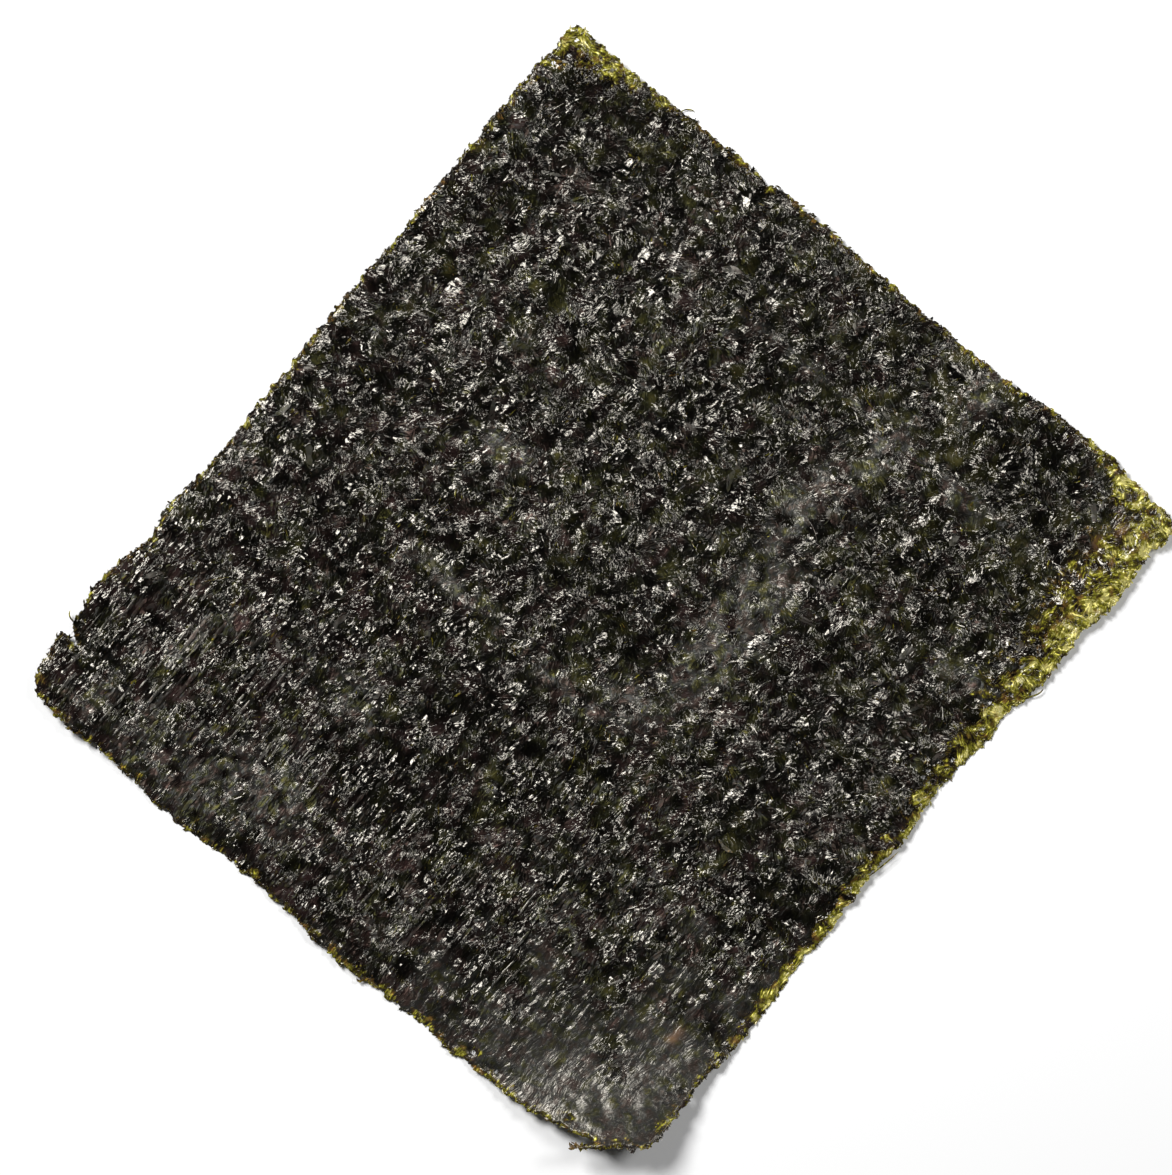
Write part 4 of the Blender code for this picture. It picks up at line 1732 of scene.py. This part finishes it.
@dataclass(frozen=True)
class SeaweedColour:
    """The colours of dried seaweed, as a node group.

    Thick seaweed is nearly black with green, olive and purple-brown casts in patches, which drift
    along X and Y by so much per metre. As it thins out it goes through brown and olive to yellow-green
    and straw. A shred's shade lightens it towards the pale colour, and most are dark. The lightest
    shreds and facets, the pale streaks, the pale marks and the grey of the smooth corner are partly
    paler seaweed and partly painted glints and sheen. Where a row of levels is read, each pair is the
    place on the scale and how light, or how strong, it is there.
    """

    patch_size: float = 6.5
    cast_drift: Sizes = (0.25, 0.50, 0.0)
    cast_tint: float = 0.12
    thick: Stops = (
        (0.28, (0.0140, 0.0074, 0.0070, 1.0)), (0.38, (0.0082, 0.0048, 0.0039, 1.0)),
        (0.47, (0.0028, 0.0021, 0.0015, 1.0)), (0.54, (0.0040, 0.0036, 0.0019, 1.0)),
        (0.63, (0.0090, 0.0092, 0.0030, 1.0)), (0.76, (0.026, 0.023, 0.007, 1.0)),
    )
    tuft_levels: Pairs = ((0.0, 0.45), (0.7, 1.0), (1.0, 1.9))
    field_size: float = 24.0
    field_levels: Pairs = ((0.3, 0.5), (0.5, 1.0), (0.7, 1.9))
    low_levels: Pairs = ((0.0, 1.0), (1.0, 0.16))
    # Painted glints: the share of the pale colour that the lightest shreds and facets take, partly paler
    # seaweed and partly standing in for glints.
    pale_and_glint_levels: Pairs = ((0.0, 0.0), (0.5, 0.0), (0.76, 0.08), (0.88, 0.35), (0.97, 1.0))
    # Painted sheen: how far the pale streaks along the strands lighten the dark, partly paler fibres and
    # partly sheen.
    streak_sheen_share: float = 0.55
    # Painted sheen: how much the pale marks lift the pale share, and how much pale they add of their own.
    pale_lifts: float = 4.0
    pale_share: float = 0.26
    hue_size: float = 2.6
    hue_tint: float = 0.10
    # The pale colour that the lightest shreds, the streaks, the marks and the corner are mixed towards:
    # partly paler seaweed, partly painted glints and sheen.
    pale: Stops = (
        (0.28, (0.180, 0.116, 0.098, 1.0)), (0.41, (0.150, 0.125, 0.102, 1.0)),
        (0.50, (0.120, 0.123, 0.122, 1.0)), (0.60, (0.134, 0.136, 0.074, 1.0)),
        (0.73, (0.172, 0.158, 0.045, 1.0)),
    )
    # Painted sheen: the pale grey that the smooth corner, the underside and the flat pieces are mixed
    # towards.
    dusty_sheen_levels: Pairs = ((0.0, 0.2125), (1.0, 0.475))
    dusty_sheen_shades: Pairs = ((0.0, 0.55), (0.5, 0.90), (1.0, 1.5))
    dusty_sheen_share: float = 0.75
    fleck: Colour = (0.340, 0.190, 0.105, 1.0)
    fleck_share: float = 0.8
    spot_size: float = 2.4
    spot_sway: float = 3.0
    strand_sway: float = 1.1
    thin_tint: float = 0.14
    edge_sway: float = 0.8
    thin: Stops = (
        (0.10, (0.012, 0.009, 0.005, 1.0)), (0.32, (0.032, 0.021, 0.007, 1.0)),
        (0.50, (0.068, 0.056, 0.010, 1.0)), (0.68, (0.150, 0.140, 0.014, 1.0)),
        (0.90, (0.290, 0.265, 0.030, 1.0)), (1.00, (0.520, 0.470, 0.150, 1.0)),
    )
    amber: Colour = (0.170, 0.085, 0.024, 1.0)
    amber_size: float = 2.6
    amber_levels: Pairs = ((0.54, 0.0), (0.72, 0.8))
    strand_levels: Pairs = ((0.3, 0.7), (0.5, 1.0), (0.7, 1.3))
    streak_levels: Pairs = ((0.0, 0.85), (1.0, 2.3))
    edge_levels: Pairs = ((0.10, 0.0), (0.38, 1.0))
    reach_levels: Pairs = ((0.02, 0.0), (0.10, 1.0))

    def tree(self) -> Tree:
        """Make the group, which puts out the colour.

        Returns:
            The group's tree.
        """
        inputs = {"Thin": 0.0, "Shade": 0.3, "Tint": 0.5, "Low": 0.0, "Dull": 0.0, "Tuft": 0.5, "Streak": 0.0}
        inputs |= {"Strand": 0.5, "Pale": 0.0, "Amber": 0.0}
        board = NodeBoard.of_group("seaweed_colour", inputs, {"Color": "Color"})
        given = board.place("NodeGroupInput").outputs
        where = board.place("TexCoord").outputs["Object"]
        light, share = self.thin_colour(board, given, where)
        board.place("NodeGroupOutput", Color=board.mix(share, self.thick_colour(board, given, where), light))
        return board.tree

    def thick_colour(self, board: NodeBoard, given: object, where: Socket) -> Socket:
        """The colour of thick seaweed: a dark cast by patches, with pale streaks and pale shreds over it,
        which are partly painted glints and sheen.

        Args:
            board: The group's board.
            given: The group's inputs.
            where: The place on the sheet.

        Returns:
            The colour.
        """
        patches = board.noise(where, self.patch_size, 3.0, 0.6).outputs[0]
        cast = board.plus(patches, board.dot(where, self.cast_drift))
        cast = board.plus(cast, board.slide(given["Tint"], -self.cast_tint, self.cast_tint))
        dark = board.ramp(cast, self.thick)
        field = board.levels(board.noise(where, self.field_size).outputs[0], self.field_levels)
        low = board.levels(given["Low"], self.low_levels)
        for factor in (board.levels(given["Tuft"], self.tuft_levels), field, low):
            dark = board.shaded(dark, factor)
        # Painted glints: the lightest shreds and facets are mixed towards the pale colour.
        pale_and_glint = board.levels(given["Shade"], self.pale_and_glint_levels)
        # Pale streaks along the strands: partly paler fibres, partly painted sheen.
        share = board.math("MAXIMUM", pale_and_glint, board.times(given["Streak"], self.streak_sheen_share))
        # Painted sheen: the pale marks lift the pale share and add pale colour of their own.
        share = board.times(share, board.times(board.slide(given["Pale"], 1.0, self.pale_lifts), low))
        share = board.plus(board.times(share, field), board.times(given["Pale"], self.pale_share))
        hue_shift = board.slide(given["Tint"], -self.hue_tint, self.hue_tint)
        pale = board.ramp(board.plus(board.noise(where, self.hue_size).outputs[0], hue_shift), self.pale)
        # Painted sheen: the smooth corner, the underside and the flat pieces are mixed towards a pale grey,
        # partly their own duller tone and partly standing in for sheen.
        dusty_sheen = board.shaded(pale, board.levels(given["Streak"], self.dusty_sheen_levels))
        dusty_sheen = board.shaded(dusty_sheen, board.levels(given["Shade"], self.dusty_sheen_shades))
        thick = board.mix(board.times(given["Dull"], self.dusty_sheen_share), board.mix(share, dark, pale), dusty_sheen)
        return board.mix(board.times(given["Amber"], self.fleck_share), thick, self.fleck)

    def thin_colour(self, board: NodeBoard, given: object, where: Socket) -> tuple[Socket, Socket]:
        """The colour of thin seaweed, read from how thin it is, give or take spots and strands.

        Args:
            board: The group's board.
            given: The group's inputs.
            where: The place on the sheet.

        Returns:
            The colour, and its share in the whole.
        """
        spots = board.swing(board.noise(where, self.spot_size, 4.0, 0.7).outputs[0], self.spot_sway)
        strands = board.swing(given["Strand"], self.strand_sway)
        tinted = board.slide(given["Tint"], -self.thin_tint, self.thin_tint)
        sway = board.plus(spots, board.plus(strands, tinted))
        light = board.ramp(board.plus(given["Thin"], sway), self.thin)
        flecks = board.levels(board.noise(where, self.amber_size, 3.0).outputs[0], self.amber_levels)
        light = board.mix(board.plus(flecks, given["Amber"]), light, self.amber)
        light = board.shaded(light, board.levels(given["Strand"], self.strand_levels))
        light = board.shaded(light, board.levels(given["Streak"], self.streak_levels))
        edge = board.plus(given["Thin"], board.times(sway, self.edge_sway))
        reached = board.levels(given["Thin"], self.reach_levels)
        return light, board.times(board.levels(edge, self.edge_levels), reached)


@dataclass(frozen=True)
class ChoppedRelief:
    """The fine relief of chopped and pressed seaweed, as a node group.

    The sheet is made of tufts a few millimetres across. Each lies at its own heading and lean, and
    holds small flat facets that are drawn out along it and lean their own way. Fibres, crumbs and the
    reeds' hatching lie over them. The height that the group puts out is in metres; turns and the reeds'
    drift are in radians. Each range below that goes by how tangled or how dull a place is has its value
    at 0 first and its value at 1 second.
    """

    tuft_size: float = 3.4
    tuft_slopes: Range = (0.48, 0.048)
    turns: Range = (0.55, 2.9)
    facet_size: float = 0.46
    facet_stretch: float = 0.13
    dull_slopes: Range = (2.0, 0.3)
    tangled_slopes: Range = (1.3, 0.90)
    warp_size: float = 2.4
    warp: float = 1.1
    strand_size: float = 0.48
    streak_levels: Pairs = ((0.55, 0.0), (0.62, 0.3), (0.70, 1.0))
    crumb_size: float = 1.5
    dull_fibres: Range = (1.0, 0.5)
    reed_pitch: float = 2.08
    reed_height: float = 0.10
    reed_drift_size: float = 14.0
    reed_drift: float = 5.0
    tangled_reeds: Range = (1.8, 0.3)
    dull_reeds: Range = (1.0, 0.15)

    def tree(self) -> Tree:
        """Make the group, which puts out the height, the facet's and the tuft's chance, and the strands.

        A tuft and a facet are cells of a Voronoi pattern. The height of each is the dot product of the
        cell's random lean and the way from the cell's middle.

        Returns:
            The group's tree.
        """
        inputs = {"Tangle": 0.5, "Dull": 0.0, "Slope": 0.4, "Fibre": 0.05, "Crumb": 0.2, "Reeds": 1.0}
        outputs = dict.fromkeys(("Height", "Facet", "Tuft", "Streak", "Strand"), "Float")
        board = NodeBoard.of_group("chopped_relief", inputs, outputs)
        given = board.place("NodeGroupInput").outputs
        where = board.place("TexCoord").outputs["Object"]
        tangle, dull = given["Tangle"], given["Dull"]
        sway = board.noise(where, self.warp_size, 1.0).outputs["Color"]
        sway = board.vector("SUBTRACT", sway, (0.5, 0.5, 0.5))
        swayed = board.vector("ADD", where, board.scaled(sway, self.warp * MM))
        tufts = board.cells(swayed, self.tuft_size)
        chance = board.place("SeparateXYZ", Vector=tufts.outputs["Color"]).outputs
        turn = board.swing(chance["X"], board.slide(tangle, *self.turns))
        turned = board.place(
            "VectorRotate", {"rotation_type": "Z_AXIS"}, Vector=swayed, Center=tufts.outputs["Position"],
            Angle=turn,
        ).outputs[0]
        drawn_out = board.vector("MULTIPLY", turned, (1.0, self.facet_stretch, 1.0))
        cells = board.cells(drawn_out, self.facet_size)
        steep = board.times(board.slide(dull, *self.dull_slopes), board.slide(tangle, *self.tangled_slopes))
        facets = board.leaning(cells, drawn_out, board.times(given["Slope"], steep))
        heaps = board.leaning(tufts, swayed, board.slide(dull, *self.tuft_slopes))
        strands = board.noise(drawn_out, self.strand_size, 1.5, 0.6).outputs[0]
        low = board.slide(dull, *self.dull_fibres)
        fibres = board.centred(strands, board.times(given["Fibre"], low))
        crumbs = board.noise(swayed, self.crumb_size, 3.0).outputs[0]
        crumbs = board.centred(crumbs, board.times(given["Crumb"], low))
        drift = board.swing(board.noise(where, self.reed_drift_size).outputs[0], self.reed_drift)
        along = board.place("SeparateXYZ", Vector=where).outputs["X"]
        phase = board.plus(board.times(along, 2 * math.pi / (self.reed_pitch * MM)), drift)
        reeds = board.times(board.math("SINE", phase), self.reed_height / 2 * MM)
        combed = board.times(board.slide(tangle, *self.tangled_reeds), board.slide(dull, *self.dull_reeds))
        reeds = board.times(reeds, board.times(combed, given["Reeds"]))
        board.place(
            "NodeGroupOutput",
            Height=board.plus(board.plus(facets, heaps), board.plus(fibres, board.plus(crumbs, reeds))),
            Facet=board.place("SeparateXYZ", Vector=cells.outputs["Color"]).outputs["Z"],
            Tuft=chance["Y"],
            Streak=board.levels(strands, self.streak_levels),
            Strand=strands,
        )
        return board.tree


@dataclass(frozen=True)
class SeaweedFinish:
    """The finish of one kind of piece, made from the shared colour and relief groups.

    Own shade is how much of the shade is the shred's own; the rest is the facet's. The slope is the
    facets', and fibre and crumb are heights in millimetres. Low share is what is left of slope and
    fibre in the flat black spots. Streak reach is the streaks' strength where the shreds are combed and
    where they are tangled. Haze is what the smooth corner and the pale marks add to the roughness.
    """

    name: str
    own_shade: float
    roughness: Range
    slope: float
    fibre: float
    crumb: float
    reeds: float
    streaks: float
    low_share: float = 0.2
    streak_reach: Range = (1.4, 0.9)
    haze: Range = (0.15, 0.14)
    specular: float = 0.5
    gloss_tint: Colour = (1.0, 0.94, 0.83, 1.0)

    def material(self, colour: Tree, relief: Tree) -> Material:
        """Make the material.

        Args:
            colour: The shared colour group.
            relief: The shared relief group.

        Returns:
            The material.
        """
        material = bpy.data.materials.new(self.name)
        material.use_nodes = True
        shader = material.node_tree.nodes["Principled BSDF"]
        board = NodeBoard(material.node_tree)
        thin, tangle, low, dull, shade, tint, pale, amber = (
            board.place("Attribute", {"attribute_name": name}).outputs["Fac"]
            for name in ("thin", "tangle", "low", "dull", "shade", "tint", "pale", "amber")
        )
        slope, fibre = (board.slide(low, full, self.low_share * full) for full in (self.slope, self.fibre))
        press = board.place(
            "Group", {"node_tree": relief}, Tangle=tangle, Dull=dull, Slope=slope, Fibre=fibre,
            Crumb=self.crumb, Reeds=self.reeds,
        ).outputs
        facet_shade = board.times(press["Facet"], 1.0 - self.own_shade)
        shade = board.plus(board.times(shade, self.own_shade), facet_shade)
        strength = board.slide(tangle, *(reach * self.streaks for reach in self.streak_reach))
        dye = board.place(
            "Group", {"node_tree": colour}, Thin=thin, Shade=shade, Tint=tint, Low=low, Dull=dull, Pale=pale,
            Amber=amber, Tuft=press["Tuft"], Strand=press["Strand"],
            Streak=board.times(press["Streak"], strength),
        ).outputs
        haze = board.plus(board.times(dull, self.haze[0]), board.times(pale, self.haze[1]))
        bump = board.place("Bump", Height=press["Height"], Distance=1.0, Strength=1.0)
        board.join(dye["Color"], shader.inputs["Base Color"])
        board.join(board.plus(board.slide(press["Facet"], *self.roughness), haze), shader.inputs["Roughness"])
        board.join(bump.outputs[0], shader.inputs["Normal"])
        shader.inputs["Specular IOR Level"].default_value = self.specular
        shader.inputs["Specular Tint"].default_value = self.gloss_tint
        return material


@dataclass(frozen=True)
class Lamp:
    """A soft rectangular lamp that faces the sheet, in metres and watts.

    Its azimuth is its direction from +X and its height the angle above the floor, both in degrees.
    """

    name: str
    azimuth: float
    height: float
    away: float
    size: Range
    watts: float

    def build(self) -> None:
        """Put the lamp on a sphere about the sheet."""
        light = bpy.data.lights.new(self.name, "AREA")
        light.shape = "RECTANGLE"
        light.size, light.size_y = self.size
        light.energy = self.watts
        lamp = bpy.data.objects.new(self.name, light)
        a, e = math.radians(self.azimuth), math.radians(self.height)
        ground = self.away * math.cos(e)
        lamp.location = (ground * math.cos(a), ground * math.sin(a), self.away * math.sin(e))
        lamp.rotation_euler = (0.0, math.pi / 2 - e, a)
        bpy.context.scene.collection.objects.link(lamp)


@dataclass(frozen=True)
class Studio:
    """A pale floor, soft lights and a camera straight above, turned so that the sheet stands on a corner.

    The middle is the place on the sheet under the picture's middle. The camera's clip is in metres.
    """

    turn: float = 39.45
    middle: Range = (-4.7, 1.4)
    across: float = 285.2
    camera_height: float = 1400.0
    sensor: float = 36.0
    clip: Range = (0.05, 20.0)
    floor_size: float = 3000.0
    floor_level: float = -0.02
    floor_colour: Colour = (0.93, 0.93, 0.93, 1.0)
    floor_roughness: float = 0.9
    lamps: tuple[Lamp, ...] = (
        Lamp("key", 174.0, 52.0, 1.2, (0.42, 0.34), 17.2), Lamp("side", 62.0, 50.0, 1.3, (0.34, 0.34), 6.6),
    )
    surround: float = 0.035

    def floor(self) -> None:
        """A broad plain floor, a hair under the sheet."""
        half, level = self.floor_size / 2 * MM, self.floor_level * MM
        corners = [(side * half, end * half, level) for side, end in ((-1, -1), (1, -1), (1, 1), (-1, 1))]
        mesh = bpy.data.meshes.new("floor")
        mesh.from_pydata(corners, [], [(0, 1, 2, 3)])
        material = bpy.data.materials.new("pale_floor")
        material.use_nodes = True
        shader = material.node_tree.nodes["Principled BSDF"]
        shader.inputs["Base Color"].default_value = self.floor_colour
        shader.inputs["Roughness"].default_value = self.floor_roughness
        mesh.materials.append(material)
        floor = bpy.data.objects.new("floor", mesh)
        bpy.context.scene.collection.objects.link(floor)
        floor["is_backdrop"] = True

    def camera(self) -> None:
        """The camera: a long lens high above the sheet, turned about the vertical."""
        lens = bpy.data.cameras.new("camera")
        lens.type = "PERSP"
        lens.sensor_fit = "HORIZONTAL"
        lens.sensor_width = self.sensor
        lens.lens = self.sensor * self.camera_height / self.across
        lens.clip_start, lens.clip_end = self.clip
        camera = bpy.data.objects.new("camera", lens)
        camera.location = (self.middle[0] * MM, self.middle[1] * MM, self.camera_height * MM)
        camera.rotation_euler = (0.0, 0.0, math.radians(self.turn))
        bpy.context.scene.collection.objects.link(camera)
        bpy.context.scene.camera = camera

    def world(self) -> None:
        """An even pale surround."""
        world = bpy.data.worlds.new("surround")
        world.use_nodes = True
        background = world.node_tree.nodes["Background"].inputs
        background["Color"].default_value = (1.0, 1.0, 1.0, 1.0)
        background["Strength"].default_value = self.surround
        bpy.context.scene.world = world

    def build(self) -> None:
        """Set up the floor, the lights, the surround and the camera."""
        self.floor()
        for lamp in self.lamps:
            lamp.build()
        self.world()
        self.camera()
        bpy.context.scene.view_settings.view_transform = "Standard"


def main() -> None:
    """Build the sheet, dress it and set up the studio."""
    logging.basicConfig(level=logging.INFO, format="%(name)s: %(message)s")
    sheet = Sheet()
    colour, relief = SeaweedColour().tree(), ChoppedRelief().tree()
    finishes = (
        SeaweedFinish(
            "matted_seaweed", own_shade=0.3, roughness=(0.18, 0.07), slope=0.26, fibre=0.24, crumb=0.10,
            reeds=1.0, streaks=1.0,
        ),
        SeaweedFinish(
            "torn_seaweed", own_shade=0.9, roughness=(0.18, 0.07), slope=0.04, fibre=0.008, crumb=0.02,
            reeds=0.0, streaks=0.0,
        ),
        SeaweedFinish(
            "smooth_seaweed", own_shade=0.8, roughness=(0.42, 0.30), slope=0.10, fibre=0.12, crumb=0.08,
            reeds=0.0, streaks=0.6,
        ),
        SeaweedFinish(
            "ridged_seaweed", own_shade=0.6, roughness=(0.34, 0.18), slope=0.05, fibre=0.16, crumb=0.03,
            reeds=0.0, streaks=1.0,
        ),
    )
    matted, torn, smooth, ridged = (finish.material(colour, relief) for finish in finishes)
    MattedBody(sheet).build(matted)
    Shreds(
        sheet, "broad_shreds", 101, pieces=2, pitch=1.3, form=ShredForm(2), lengths=(0.8, 2.0, 4.6),
        half_widths=(0.05, 0.105, 0.26),
    ).build(torn)
    Shreds(
        sheet, "fine_shreds", 107, pieces=2, pitch=0.66, form=ShredForm(1), lengths=(0.8, 1.9, 4.5),
        half_widths=(0.045, 0.08, 0.15), roll=0.25, bend=0.05, ridge_slopes=(0.2, 0.8), calm_thins=0.8,
    ).build(torn)
    Shreds(
        sheet, "long_fibres", 109, pitch=8.0, form=ShredForm(7), lengths=(3.0, 6.0, 13.0),
        half_widths=(0.06, 0.11, 0.20), bend=0.22, arch=0.35, stiffness=0.3, pitch_angle=0.02, overhang=-0.3,
    ).build(torn)
    Shreds(
        sheet, "flat_blades", 113, pitch=13.0, form=ShredForm(5), lengths=(2.0, 3.6, 6.5),
        half_widths=(0.25, 0.45, 0.8), roll=0.05, bend=0.08, arch=0.12, pitch_angle=0.03,
        ridge_slopes=(0.03, 0.15), standing=(-0.14, 0.06), pool_thins=0.2, dulled=0.4, overhang=-1.0,
    ).build(smooth)
    ReedRidges(
        sheet, "reed_ridges", 127, pitch=2.2, form=ShredForm(7), lengths=(3.0, 6.5, 15.0),
        half_widths=(0.12, 0.24, 0.42), roll=0.05, bend=0.012, arch=0.04, pitch_angle=0.004, skews=0.2,
        ridge_slopes=(0.26, 0.44), standing=(0.04, 0.18), reed_pull=1.0, overhang=-0.6, dulled=0.3,
    ).build(ridged)
    Shreds(
        sheet, "under_shreds", 103, face=Face.UNDER, pitch=3.4, roll=0.06, standing=(-0.02, 0.03), arch=0.04,
        pitch_angle=0.02, ridge_slopes=(0.1, 0.3),
    ).build(torn)
    Fringe(sheet).build(torn)
    LooseStrands(sheet).build(torn)
    Studio().build()
    boxes = {"cad": CAD_BOX, "visual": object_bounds()}
    plain = {name: [list(corner) for corner in box] for name, box in boxes.items()}


if __name__ == "__main__":
    main()
